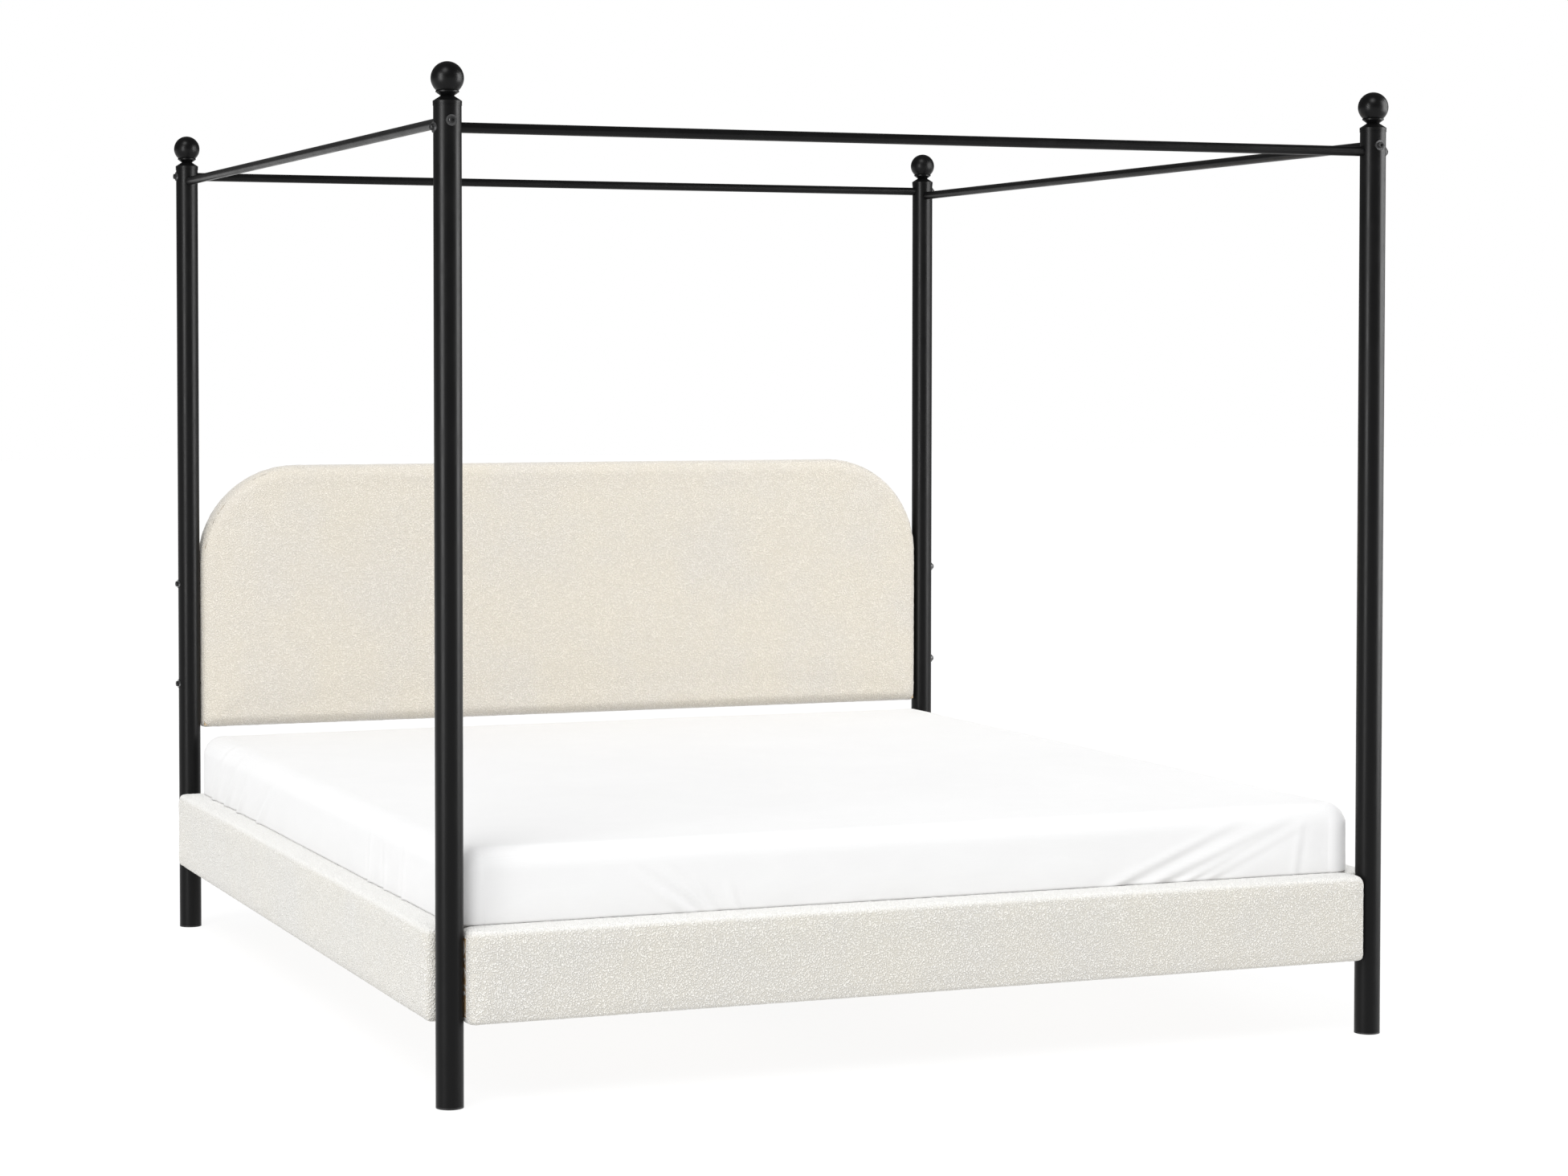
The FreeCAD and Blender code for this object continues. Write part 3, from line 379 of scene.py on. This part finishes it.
def coating_group():
    """Sprayed or moulded skin: fine orange peel, faint clouding and rubbed, dusty patches."""
    w, given, out = shader_group(
        "sprayed skin",
        [
            ("Vector", "vector", None),
            ("Peel Size", "number", 0.0012),
            ("Skin Tint", "colour", (0.01, 0.01, 0.01, 1)),
            ("Rubbed Tint", "colour", (0.03, 0.03, 0.03, 1)),
            ("Wear", "number", 0.3),
            ("Base Roughness", "number", 0.42),
        ],
        [("Tint", "colour"), ("Roughness", "number"), ("Height", "number")],
    )
    scale = w.sum("DIVIDE", 1.0, given["Peel Size"])
    peel = w.noise(given["Vector"], scale, 2, 0.5)
    cloud = w.span(w.noise(given["Vector"], 14, 4, 0.6), 0.3, 0.75)
    scuffs = w.noise(w.stretch(given["Vector"], (26, 26, 7)), 1.0, 6, 0.68)
    worn = w.sum("MULTIPLY", w.span(scuffs, 0.6, 0.78), given["Wear"])
    tint = w.blend(worn, given["Skin Tint"], given["Rubbed Tint"])
    rough = w.sum("ADD", given["Base Roughness"], w.span(cloud, 0, 1, -0.03, 0.04))
    rough = w.sum("ADD", rough, w.sum("MULTIPLY", worn, 0.12))
    w.feed(out, "Tint", tint)
    w.feed(out, "Roughness", w.sum("ADD", rough, w.span(peel, 0.3, 0.7, -0.02, 0.02)))
    w.feed(out, "Height", w.sum("ADD", peel, w.sum("MULTIPLY", worn, -0.3)))
    return w.tree


def timber_group():
    """Straight grain along the first axis: growth bands, fine pores and a few darker streaks."""
    w, given, out = shader_group(
        "timber grain",
        [
            ("Vector", "vector", None),
            ("Early Wood", "colour", (0.7, 0.55, 0.36, 1)),
            ("Late Wood", "colour", (0.5, 0.34, 0.18, 1)),
            ("Contrast", "number", 0.5),
        ],
        [("Tint", "colour"), ("Roughness", "number"), ("Height", "number")],
    )
    bend = w.noise(w.stretch(given["Vector"], (1.2, 9, 9)), 1.0, 3, 0.5)
    bands = w.add("ShaderNodeTexWave", wave_type="BANDS", bands_direction="DIAGONAL")
    w.feed(bands, "Vector", w.stretch(given["Vector"], (0.9, 26, 26)))
    w.feed(bands, "Scale", 0.7)
    w.feed(bands, "Distortion", 7.0)
    w.feed(bands, "Detail", 3.0)
    pores = w.noise(w.stretch(given["Vector"], (30, 900, 900)), 1.0, 2, 0.6)
    ring = w.sum("MULTIPLY", w.span(bands.outputs["Fac"], 0.2, 0.95), given["Contrast"])
    ring = w.sum("ADD", ring, w.span(bend, 0.35, 0.75, 0.0, 0.25))
    ring = w.sum("ADD", ring, w.span(pores, 0.52, 0.7, 0.0, 0.25))
    w.feed(out, "Tint", w.blend(ring, given["Early Wood"], given["Late Wood"]))
    w.feed(out, "Roughness", w.span(ring, 0.0, 1.0, 0.46, 0.66))
    w.feed(out, "Height", w.sum("SUBTRACT", 1.0, ring))
    return w.tree


GROUPS = {
    "loops": boucle_loops_group(),
    "weave": plain_weave_group(),
    "skin": coating_group(),
    "timber": timber_group(),
}


# ------------------------------------------------------------------ materials

def dressed(name, group, values, bump, bump_reach, shader=None, grain_turn=None):
    """A material whose tint, roughness and relief come from one of the groups."""
    material = bpy.data.materials.new(name)
    material.use_nodes = True
    w = Wiring(material.node_tree)
    surface = material.node_tree.nodes["Principled BSDF"]
    place = w.add("ShaderNodeTexCoord").outputs["Object"]
    if grain_turn is not None:
        place = w.stretch(place, (1, 1, 1), grain_turn)
    pattern = w.add("ShaderNodeGroup", node_tree=GROUPS[group])
    w.feed(pattern, "Vector", place)
    for key, value in values.items():
        w.feed(pattern, key, value)
    relief = w.add("ShaderNodeBump")
    w.feed(relief, "Strength", bump)
    w.feed(relief, "Distance", bump_reach)
    w.feed(relief, "Height", pattern.outputs["Height"])
    w.feed(surface, "Base Color", pattern.outputs["Tint"])
    w.feed(surface, "Roughness", pattern.outputs["Roughness"])
    w.feed(surface, "Normal", relief.outputs[0])
    for key, value in (shader or {}).items():
        w.feed(surface, key, value)
    return material


def tint(red, green, blue):
    return (red, green, blue, 1)


# turns that lay the timber grain along an axis; it runs along x unturned
ALONG_X = None
ALONG_Y = (0, 0, math.radians(90))
ALONG_Z = (0, math.radians(90), 0)
NEVER = 10.0  # metres up: higher than any cloth, so no painted top light is put on the pile anywhere
CLOTH_SHEEN = {"Sheen Weight": 0.25, "Sheen Roughness": 0.5, "Specular IOR Level": 0.1}
FUZZ_SHEEN = {"Sheen Weight": 0.8, "Sheen Roughness": 0.36, "Specular IOR Level": 0.08}


# painted_light_above: the height over which the pile is tinted lighter, as painted light from above
def boucle(name, crest, hollow, loop_size, bump, mottle, painted_light_above=NEVER):
    values = {
        "Painted Light Above": painted_light_above,
        "Crest Tint": crest,
        "Hollow Shade Tint": hollow,
        "Loop Size": loop_size,
        "Mottle": mottle,
    }
    return dressed(name, "loops", values, bump, 0.0022, FUZZ_SHEEN)


def skin(name, coat, rubbed, wear, roughness, peel, shader):
    values = {
        "Skin Tint": coat,
        "Rubbed Tint": rubbed,
        "Wear": wear,
        "Base Roughness": roughness,
        "Peel Size": peel,
    }
    return dressed(name, "skin", values, 0.15, 0.0002, shader)


def timber(name, early, late, contrast, grain, varnish=0.0):
    values = {"Early Wood": early, "Late Wood": late, "Contrast": contrast}
    shader = {"Coat Weight": varnish, "Coat Roughness": 0.25, "Specular IOR Level": 0.4}
    return dressed(name, "timber", values, 0.3, 0.0004, shader, grain)


# the second tint of each boucle is painted shade for the hollows between the loops
HEADBOARD_BOUCLE = boucle(
    "headboard boucle", tint(0.81, 0.77, 0.70), tint(0.67, 0.63, 0.56), 0.0034, 0.7, 0.8
)
# the rails get painted light along their top edge, tinted lighter as if lit from above
RAIL_BOUCLE = boucle(
    "rail boucle", tint(0.97, 0.955, 0.91), tint(0.65, 0.63, 0.58), 0.0031, 1.0, 0.6,
    RAIL_TOP - 0.013,
)
COTTON = dressed(
    "white cotton",
    "weave",
    {
        "Thread Size": 0.0007,
        "Thread Tint": tint(0.82, 0.82, 0.822),
        "Gap Shade Tint": tint(0.78, 0.78, 0.782),
    },
    0.15,
    0.0002,
    {"Sheen Weight": 0.15, "Sheen Roughness": 0.4, "Specular IOR Level": 0.2},
)
TICKING = dressed(
    "mattress ticking",
    "weave",
    {"Thread Size": 0.0016, "Thread Tint": tint(0.86, 0.85, 0.82), "Gap Shade Tint": tint(0.7, 0.69, 0.66)},
    0.4,
    0.0006,
    CLOTH_SHEEN,
)
LINING = dressed(
    "lining cloth",
    "weave",
    {"Thread Size": 0.0012, "Thread Tint": tint(0.78, 0.74, 0.66), "Gap Shade Tint": tint(0.6, 0.56, 0.49)},
    0.4,
    0.0005,
    CLOTH_SHEEN,
)
POWDER_COAT = skin(
    "satin powder coat", tint(0.0035, 0.0035, 0.0037), tint(0.012, 0.012, 0.012), 0.3, 0.34, 0.0013,
    {"Specular IOR Level": 0.15},
)
BOLT_BLACK = skin(
    "blackened bolt steel", tint(0.035, 0.035, 0.036), tint(0.09, 0.088, 0.085), 0.6, 0.30, 0.0008,
    {"Metallic": 0.6},
)
WASHER_STEEL = skin(
    "oiled washer steel", tint(0.15, 0.15, 0.153), tint(0.26, 0.26, 0.25), 0.5, 0.26, 0.0008,
    {"Metallic": 0.8},
)
FRAME_BLACK = skin(
    "matt powder coat", tint(0.012, 0.012, 0.012), tint(0.035, 0.035, 0.035), 0.5, 0.55, 0.0016,
    {"Specular IOR Level": 0.35},
)
ZINC = skin(
    "zinc plate", tint(0.56, 0.56, 0.54), tint(0.4, 0.4, 0.39), 0.7, 0.3, 0.0007, {"Metallic": 1.0}
)
PLASTIC = skin(
    "moulded black plastic", tint(0.014, 0.014, 0.014), tint(0.04, 0.04, 0.04), 0.4, 0.5, 0.001,
    {"Specular IOR Level": 0.4},
)
BIRCH = timber("lacquered birch", tint(0.66, 0.49, 0.29), tint(0.5, 0.33, 0.17), 0.35, ALONG_X, 0.4)
PINE_ACROSS = timber("pine, grain across", tint(0.62, 0.44, 0.24), tint(0.42, 0.25, 0.11), 0.6, ALONG_X)
PINE_LONG = timber("pine, grain along", tint(0.62, 0.44, 0.24), tint(0.42, 0.25, 0.11), 0.6, ALONG_Y)
PINE_UPRIGHT = timber("pine, upright", tint(0.62, 0.44, 0.24), tint(0.42, 0.25, 0.11), 0.6, ALONG_Z)
PLYWOOD = timber("plywood", tint(0.6, 0.45, 0.28), tint(0.44, 0.3, 0.17), 0.4, ALONG_X)
STUDIO_FLOOR = dressed(
    "studio paper",
    "weave",
    {"Thread Size": 0.004, "Thread Tint": tint(0.13, 0.13, 0.13), "Gap Shade Tint": tint(0.12, 0.12, 0.12)},
    0.02,
    0.0002,
    {"Specular IOR Level": 0.0, "Emission Color": tint(1, 1, 1), "Emission Strength": 0.89},
)

FINISHES = [
    (PLASTIC, ("post_glides", "centre_leg_plugs", "levelling_foot", "slat_holders")),
    (ZINC, ("bracket_bolts", "ledge_screws", "canopy_rail_inserts", "bracket_inserts",
            "headboard_inserts")),
    (BOLT_BLACK, ("canopy_bolts", "headboard_bolts")),
    (WASHER_STEEL, ("canopy_washers", "headboard_washers")),
    (POWDER_COAT, ("post_", "finial_", "canopy_rail")),
    (FRAME_BLACK, ("corner_bracket", "slat_ledge", "centre_beam", "beam_hanger",
                   "head_cross_rail", "centre_leg")),
    (BIRCH, ("slats_",)),
    (PLYWOOD, ("headboard_board",)),
    (LINING, ("headboard_back_panel",)),
    (PINE_UPRIGHT, ("headboard_stile",)),
    (PINE_LONG, ("side_rail_left_core", "side_rail_right_core")),
    (PINE_ACROSS, ("foot_rail_core", "headboard_cross_rail")),
    (TICKING, ("mattress",)),
    (COTTON, ("fitted_sheet",)),
    (RAIL_BOUCLE, ("foot_rail_cover", "side_rail_left_cover", "side_rail_right_cover")),
    (HEADBOARD_BOUCLE, ("headboard_padding",)),
]


def finish_the_frame():
    """Gives every CAD node the finish of its part."""
    for name, node in NODES.items():
        material = next(m for m, starts in FINISHES if name.startswith(starts))
        node.data.materials.clear()
        node.data.materials.append(material)


# ------------------------------------------------------------------ upholstery

SWELL_FRAMES = 20


def blow_up(piece, pressure, cap, slack, held):
    """Fills the cover as foam does: it starts a little small, swells, and stops at the cap.
    held(point) is true where the cover is stapled or rests on timber, and doesn't move."""
    mesh = piece.data
    still = [held(v.co) for v in mesh.vertices]
    group = piece.vertex_groups.new(name="held")
    group.add([index for index, fixed in enumerate(still) if fixed], 1.0, "REPLACE")
    start = [v.co.copy() for v in mesh.vertices]
    outwards = [v.normal.copy() for v in mesh.vertices]
    drawn_in = [v.co - v.normal * slack for v in mesh.vertices]
    for vertex, inner in zip(mesh.vertices, drawn_in):
        if not still[vertex.index]:
            vertex.co = inner
    take(piece)
    air = piece.modifiers.new("air", "CLOTH")
    air.settings.quality = 4
    air.settings.mass = 0.3
    air.settings.use_pressure = True
    air.settings.uniform_pressure_force = pressure
    air.settings.effector_weights.gravity = 0
    air.settings.vertex_group_mass = "held"
    air.collision_settings.use_collision = False
    air.point_cache.frame_start = 1
    air.point_cache.frame_end = SWELL_FRAMES
    for number in range(1, SWELL_FRAMES + 1):
        bpy.context.scene.frame_set(number)
    bpy.ops.object.modifier_apply(modifier="air")
    bpy.context.scene.frame_set(1)
    for vertex, origin, out in zip(piece.data.vertices, start, outwards):
        move = vertex.co - origin
        move -= out * min(0.0, move.dot(out))
        vertex.co = origin + move * min(1.0, cap / max(move.length, 1e-9))


def nub_up(piece, height, size, held):
    """Raises the surface in small soft lumps where the yarn loops bunch."""
    mesh = piece.data
    moved = []
    for vertex in mesh.vertices:
        at = vertex.co
        lump = noise.noise(at / size) + 0.6 * noise.noise(at / (size * 0.45) + Vector((9, 4, 7)))
        moved.append(at + vertex.normal * (0 if held(at) else height * lump))
    for vertex, place in zip(mesh.vertices, moved):
        vertex.co = place


def cut_away(piece, low, high):
    """Cuts a square hollow out of the piece."""
    hollow = foam_block("hollow", low, high)
    work(piece, "BOOLEAN", operation="DIFFERENCE", solver="EXACT", object=hollow)
    bpy.data.objects.remove(hollow)


def make_low_rail_cover(name, cover, core):
    """Boucle over foam, wrapped round a timber core, closed at both ends and open along the
    inside of the bed for the brackets and the slat ledge."""
    low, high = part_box(cover)
    core_low, core_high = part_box(core)
    along = 0 if high.x - low.x > high.y - low.y else 1
    across = 1 - along
    outer, inner = (low, high) if low[across] + high[across] < 0 else (high, low)
    piece = foam_block(name, low, high)

    def upright_at(face):
        return lambda a, b: abs(a.z - b.z) > 0.1 and abs(a[across] - face) < NEARLY

    def on_inner_face(point, within=0.002):
        return abs(point[across] - inner[across]) < within

    def top_but_not_inner(a, b):
        on_top = min(a.z, b.z) > high.z - NEARLY
        return on_top and not (on_inner_face(a, NEARLY) and on_inner_face(b, NEARLY))

    round_edges(piece, upright_at(outer[across]), 0.012, 5)
    round_edges(piece, upright_at(inner[across]), MITRE, 1)
    round_edges(piece, top_but_not_inner, 0.013, 5)
    round_edges(piece, lambda a, b: max(a.z, b.z) < low.z + NEARLY, 0.005, 2)
    work(piece, "REMESH", mode="VOXEL", voxel_size=0.008)
    blow_up(piece, 4.0, 0.003, 0.0015, on_inner_face)
    work(piece, "SUBSURF", levels=1, render_levels=1)
    nub_up(piece, 0.0005, 0.0058, on_inner_face)
    clearance = Vector((0.0002, 0.0002, 0.0002))
    slot_low, slot_high = core_low - clearance, core_high + clearance
    cut_away(piece, slot_low, slot_high)
    past_cover = 0.02
    if inner[across] > outer[across]:
        slot_high[across] = inner[across] + past_cover
    else:
        slot_low[across] = inner[across] - past_cover
    slot_high.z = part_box("mattress")[0].z + 0.012
    cut_away(piece, slot_low, slot_high)
    soften_shading(piece, 60)
    finish_piece(piece, RAIL_BOUCLE, "bed_frame", [cover])


def make_headboard():
    """An arched foam panel in boucle, with an open pocket at the back for its board."""
    low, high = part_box("headboard_padding")
    front, back = low.y, high.y
    arch, arch_steps = 0.232, 28
    swell = 0.0035  # the panel starts this much short, and its front swells out to the full depth
    border, foam = 0.0055, 0.0168  # cloth and foam beside the board, and in front of it

    def top_corner(a, b):
        return min(a.z, b.z) > high.z - 0.05 and abs(a.x - b.x) < 0.01

    def on_back(point):
        return point.y > back - 0.002

    panel = foam_block("headboard_cushion", low + Vector((0, swell, 0)), high)
    round_edges(panel, top_corner, arch, arch_steps)
    round_edges(panel, lambda a, b: max(a.y, b.y) < front + swell + NEARLY, 0.028, 7)
    round_edges(panel, lambda a, b: min(a.y, b.y) > back - NEARLY, 0.003, 2)
    work(panel, "REMESH", mode="VOXEL", voxel_size=0.010)
    blow_up(panel, 4.0, swell, 0.002, on_back)
    work(panel, "SUBSURF", levels=1, render_levels=1)
    nub_up(panel, 0.0006, 0.009, on_back)
    pocket = foam_block(
        "headboard_pocket",
        (low.x + border, front + foam, low.z + border),
        (high.x - border, back + 0.03, high.z - border),
    )
    round_edges(pocket, top_corner, arch - border, arch_steps)
    work(panel, "BOOLEAN", operation="DIFFERENCE", solver="EXACT", object=pocket)
    bpy.data.objects.remove(pocket)
    soften_shading(panel, 60)
    finish_piece(panel, HEADBOARD_BOUCLE, "bed_frame", ["headboard_padding"])


# ------------------------------------------------------------------ mattress and sheet

def make_mattress():
    """The mattress itself, a little smaller than its box so that the sheet lies clear of it."""
    low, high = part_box("mattress")
    tight = Vector((0.004, 0.004, 0.0))
    below_sheet = Vector((0, 0, 0.009))
    ticking = foam_block("mattress_core", low + tight, high - tight - below_sheet)
    round_edges(ticking, lambda a, b: abs(a.z - b.z) > 0.1, 0.042, 6)
    round_edges(ticking, lambda a, b: abs(a.z - b.z) < 0.01, 0.026, 4)
    work(ticking, "REMESH", mode="VOXEL", voxel_size=0.026)
    blow_up(ticking, 3.0, 0.002, 0.002, lambda point: point.z < low.z + 0.006)
    work(ticking, "SUBSURF", levels=1, render_levels=1)
    soften_shading(ticking, 80)
    finish_piece(ticking, TICKING, "mattress", ["mattress"])
    return ticking


def rounded_outline(half_width, half_length, corner, spacing):
    """Points round a rectangle with rounded corners, each with its outward direction."""
    points = []
    for number, (sx, sy) in enumerate(((1, 1), (-1, 1), (-1, -1), (1, -1))):
        centre = Vector((sx * (half_width - corner), sy * (half_length - corner)))
        for step in range(9):
            turn = math.radians(90 * number + 90 * step / 8)
            out = Vector((math.cos(turn), math.sin(turn)))
            points.append((centre + out * corner, out))
    filled = []
    for (here, out), (there, _) in zip(points, points[1:] + points[:1]):
        steps = max(1, round((there - here).length / spacing))
        for step in range(steps):
            filled.append((here.lerp(there, step / steps), out))
    return filled


def cord_round(name, points, radius):
    """A closed round cord through the points."""
    curve = bpy.data.curves.new(name, "CURVE")
    curve.dimensions = "3D"
    curve.bevel_depth = radius
    curve.bevel_resolution = 2
    line = curve.splines.new("POLY")
    line.points.add(len(points) - 1)
    for knot, point in zip(line.points, points):
        knot.co = (*point, 1)
    line.use_cyclic_u = True
    cord = bpy.data.objects.new(name, curve)
    bpy.context.collection.objects.link(cord)
    take(cord)
    bpy.ops.object.convert(target="MESH")
    soften_shading(cord, 70)
    return cord


def grid_lines(half, drop, rail_reach, fine_zones):
    """Sheet lines from one hem to the other, close together down the sides and at the folds,
    and closest where the sheet turns in over the rails."""
    lines = [-half - drop]
    while lines[-1] < half + drop:
        here = lines[-1]
        on_side = abs(here) > half - 0.01
        at_rail = abs(abs(here) - half - rail_reach) < 0.010
        in_fold = any(a <= here <= b for a, b in fine_zones)
        step = 0.0027 if at_rail else 0.0068 if on_side else 0.0055 if in_fold else 0.02
        lines.append(here + step)
    lines[-1] = half + drop
    return lines


def drag_fold(point, side, top, foot, width, height):
    """How far one pulled fold of cotton stands out from the side at this point.
    The fold runs from top to foot, each given as (distance along the side, height)."""
    along = point.x if side in ("foot", "head") else point.y
    here = Vector((along, point.z)) - Vector(foot)
    run = Vector(top) - Vector(foot)
    share = here.dot(run) / run.length_squared
    across = (here.x * run.y - here.y * run.x) / run.length
    if share < 0:
        fade = max(0.0, 1.0 + share * run.length / 0.05)
    else:
        fade = min(1.0, max(0.0, (1.25 - share) / 0.8))
    if fade == 0 or abs(across) > width * 5:
        return 0.0
    crest = math.exp(-((across / width) ** 2))
    trough = math.exp(-(((across - 1.7 * width) / (1.2 * width)) ** 2))
    return height * fade * (crest - 0.7 * trough)


BULGE_SIDES, BULGE_FOOT = 0.021, 0.010
BULGE_STARTS = 0.006  # below the top of the rails


def side_swell(point, normal, top):
    """How far the soft side bulges out over the rail, between the rail and the top edge.
    At the head it can't: the headboard is there."""
    share = min(1.0, max(0.0, (point.z - RAIL_TOP + BULGE_STARTS) / 0.008))
    above_rail = share * share * (3 - 2 * share)
    below_top = min(1.0, max(0.0, (top + 0.012 - point.z) / 0.05))
    outward = BULGE_SIDES * abs(normal.x) + BULGE_FOOT * max(0.0, -normal.y)
    return outward * above_rail * below_top


# pulled folds: (top), (foot), each as distance along the side and height, then width, height
FOOT_FOLDS = [
    ((-0.575, 0.385), (-0.472, 0.314), 0.0075, 0.0045),
    ((-0.520, 0.388), (-0.440, 0.315), 0.0070, 0.0040),
    ((-0.462, 0.372), (-0.424, 0.315), 0.0065, 0.0030),
    ((-0.400, 0.360), (-0.381, 0.317), 0.0065, 0.0024),
    ((0.690, 0.438), (0.385, 0.314), 0.0080, 0.0036),
    ((0.790, 0.434), (0.477, 0.316), 0.0080, 0.0034),
    ((0.735, 0.400), (0.543, 0.314), 0.0070, 0.0031),
    ((0.790, 0.405), (0.576, 0.310), 0.0070, 0.0026),
    ((0.806, 0.420), (0.789, 0.313), 0.0080, 0.0018),
]
LEFT_FOLDS = [
    ((0.748, 0.440), (0.869, 0.316), 0.0110, 0.0066),
    ((0.640, 0.410), (0.750, 0.316), 0.0110, 0.0064),
    ((0.525, 0.400), (0.634, 0.312), 0.0110, 0.0060),
    ((0.310, 0.402), (0.449, 0.313), 0.0120, 0.0055),
    ((-0.468, 0.410), (-0.451, 0.311), 0.0100, 0.0036),
    ((-0.564, 0.392), (-0.563, 0.304), 0.0100, 0.0034),
    ((-0.700, 0.400), (-0.685, 0.314), 0.0100, 0.0036),
]


def turned_about(folds):
    return [((-a[0], a[1]), (-b[0], b[1]), width, height) for a, b, width, height in folds]


SHEET_FOLDS = {
    "foot": FOOT_FOLDS,
    "left": LEFT_FOLDS,
    "right": turned_about(LEFT_FOLDS),
    "head": turned_about(FOOT_FOLDS),
}
# stretches along the width and the length where folds need a finer mesh
FOLDS_ACROSS = [(-0.62, -0.34), (0.34, 0.84), (-0.84, -0.74)]
FOLDS_LENGTHWISE = [(0.28, 0.9), (-0.74, -0.42), (-0.9, -0.8), (0.42, 0.74)]


def wrapped(a, b, flat_x, flat_y, corner, edge, top):
    """Where a point of the flat sheet comes to lie: on top, round the edge or down a side.
    Past both edges it is drawn together into the corner."""
    on_top = corner - edge
    over_edge = edge * math.pi / 2
    beyond_x, beyond_y = max(0.0, abs(a) - flat_x), max(0.0, abs(b) - flat_y)
    reach = max(beyond_x, beyond_y)
    share = min(beyond_x, beyond_y) / reach if reach else 0.0
    turn = math.radians(45 * share if beyond_x >= beyond_y else 90 - 45 * share)
    if reach <= on_top:
        out, down = reach, 0.0
    elif reach <= on_top + over_edge:
        bend = (reach - on_top) / edge
        out, down = on_top + edge * math.sin(bend), edge * (1 - math.cos(bend))
    else:
        out, down = corner, edge + reach - on_top - over_edge
    x = min(abs(a), flat_x) + out * math.cos(turn) * (reach > 0)
    y = min(abs(b), flat_y) + out * math.sin(turn) * (reach > 0)
    return Vector((math.copysign(1, a) * x, math.copysign(1, b) * y, top - down))


def sheet_lift(at, normal, top):
    """How far the cotton stands out from the smooth wrapped sheet at this point."""
    lift = 0.0
    for side, (nx, ny) in SIDES_FACE.items():
        facing = normal.x * nx + normal.y * ny
        if facing > 0.15:
            for fold in SHEET_FOLDS[side]:
                lift += min(1.0, facing * 1.3) * drag_fold(at, side, *fold)
    slack = 0.0008 * noise.noise(Vector((at.x * 9, at.y * 9, at.z * 22)))
    slack += side_swell(at, normal, top)
    pillow = 0.0016 * noise.noise(Vector((at.x * 2.2, at.y * 2.2, 3.0)))
    lift += slack + (pillow - 0.0016) * max(0.0, normal.z)
    if at.z < RAIL_TOP - BULGE_STARTS - 0.0005:
        lift = max(-0.002, min(lift, 0.0024))  # kept in by the rails
    if normal.y > 0.5:
        lift = min(lift, 0.0016)  # pressed flat by the headboard
    return lift


SIDES_FACE = {"foot": (0, -1), "head": (0, 1), "left": (-1, 0), "right": (1, 0)}


def make_fitted_sheet(mattress):
    """One cut sheet wrapped over the mattress, stretched, with a gathered hem."""
    low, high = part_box("fitted_sheet")
    corner, edge = 0.036, 0.030
    flat_x, flat_y = high.x - corner, high.y - corner
    round_top = corner - edge + edge * math.pi / 2
    drop = round_top + (high.z - edge - low.z)
    rail_reach = round_top + (high.z - edge - RAIL_TOP)
    across = grid_lines(flat_x, drop, rail_reach, FOLDS_ACROSS)
    lengthwise = grid_lines(flat_y, drop, rail_reach, FOLDS_LENGTHWISE)
    columns = len(across)
    put_down_everything()
    bpy.ops.mesh.primitive_grid_add(
        x_subdivisions=columns - 1, y_subdivisions=len(lengthwise) - 1, size=2
    )
    sheet = bpy.context.object
    sheet.name = "fitted_sheet_cotton"
    for vertex in sheet.data.vertices:
        a, b = across[vertex.index % columns], lengthwise[vertex.index // columns]
        vertex.co = wrapped(a, b, flat_x, flat_y, corner, edge, high.z)
    sheet.data.update()
    moved = [v.co + v.normal * sheet_lift(v.co, v.normal, high.z) for v in sheet.data.vertices]
    for vertex, place in zip(sheet.data.vertices, moved):
        vertex.co = place
    soften_shading(sheet, 80)
    finish_piece(sheet, COTTON, "mattress", ["fitted_sheet"])
    hem = make_hem(low, high, corner)


def make_hem(low, high, corner):
    """The gathered elastic hem, just inside the outline of the sheet."""
    inside = 0.0025
    outline = rounded_outline(high.x - inside, high.y - inside, corner, 0.012)
    points = []
    for point, out in outline:
        gather = 0.0006 * math.sin(point.x * 260) * math.sin(point.y * 230 + 1)
        at = point + out * gather
        points.append((at.x, at.y, low.z + 0.0028 + gather))
    hem = cord_round("fitted_sheet_hem", points, 0.0022)
    finish_piece(hem, COTTON, "mattress")
    return hem


def make_mattress_piping():
    """The round piping along the bottom edge of the mattress."""
    low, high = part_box("mattress")
    line = rounded_outline(high.x - 0.012, high.y - 0.012, 0.040, 0.03)
    points = [(point.x, point.y, low.z + 0.0125) for point, _ in line]
    piping = cord_round("mattress_piping_low", points, 0.0042)
    finish_piece(piping, TICKING, "mattress")


# ------------------------------------------------------------------ making it all

set_camera()
light_the_studio()
lay_floor(STUDIO_FLOOR)
finish_the_frame()
make_headboard()
for rail in ("foot_rail", "side_rail_left", "side_rail_right"):
    make_low_rail_cover(rail + "_boucle", rail + "_cover", rail + "_core")
make_fitted_sheet(make_mattress())
make_mattress_piping()
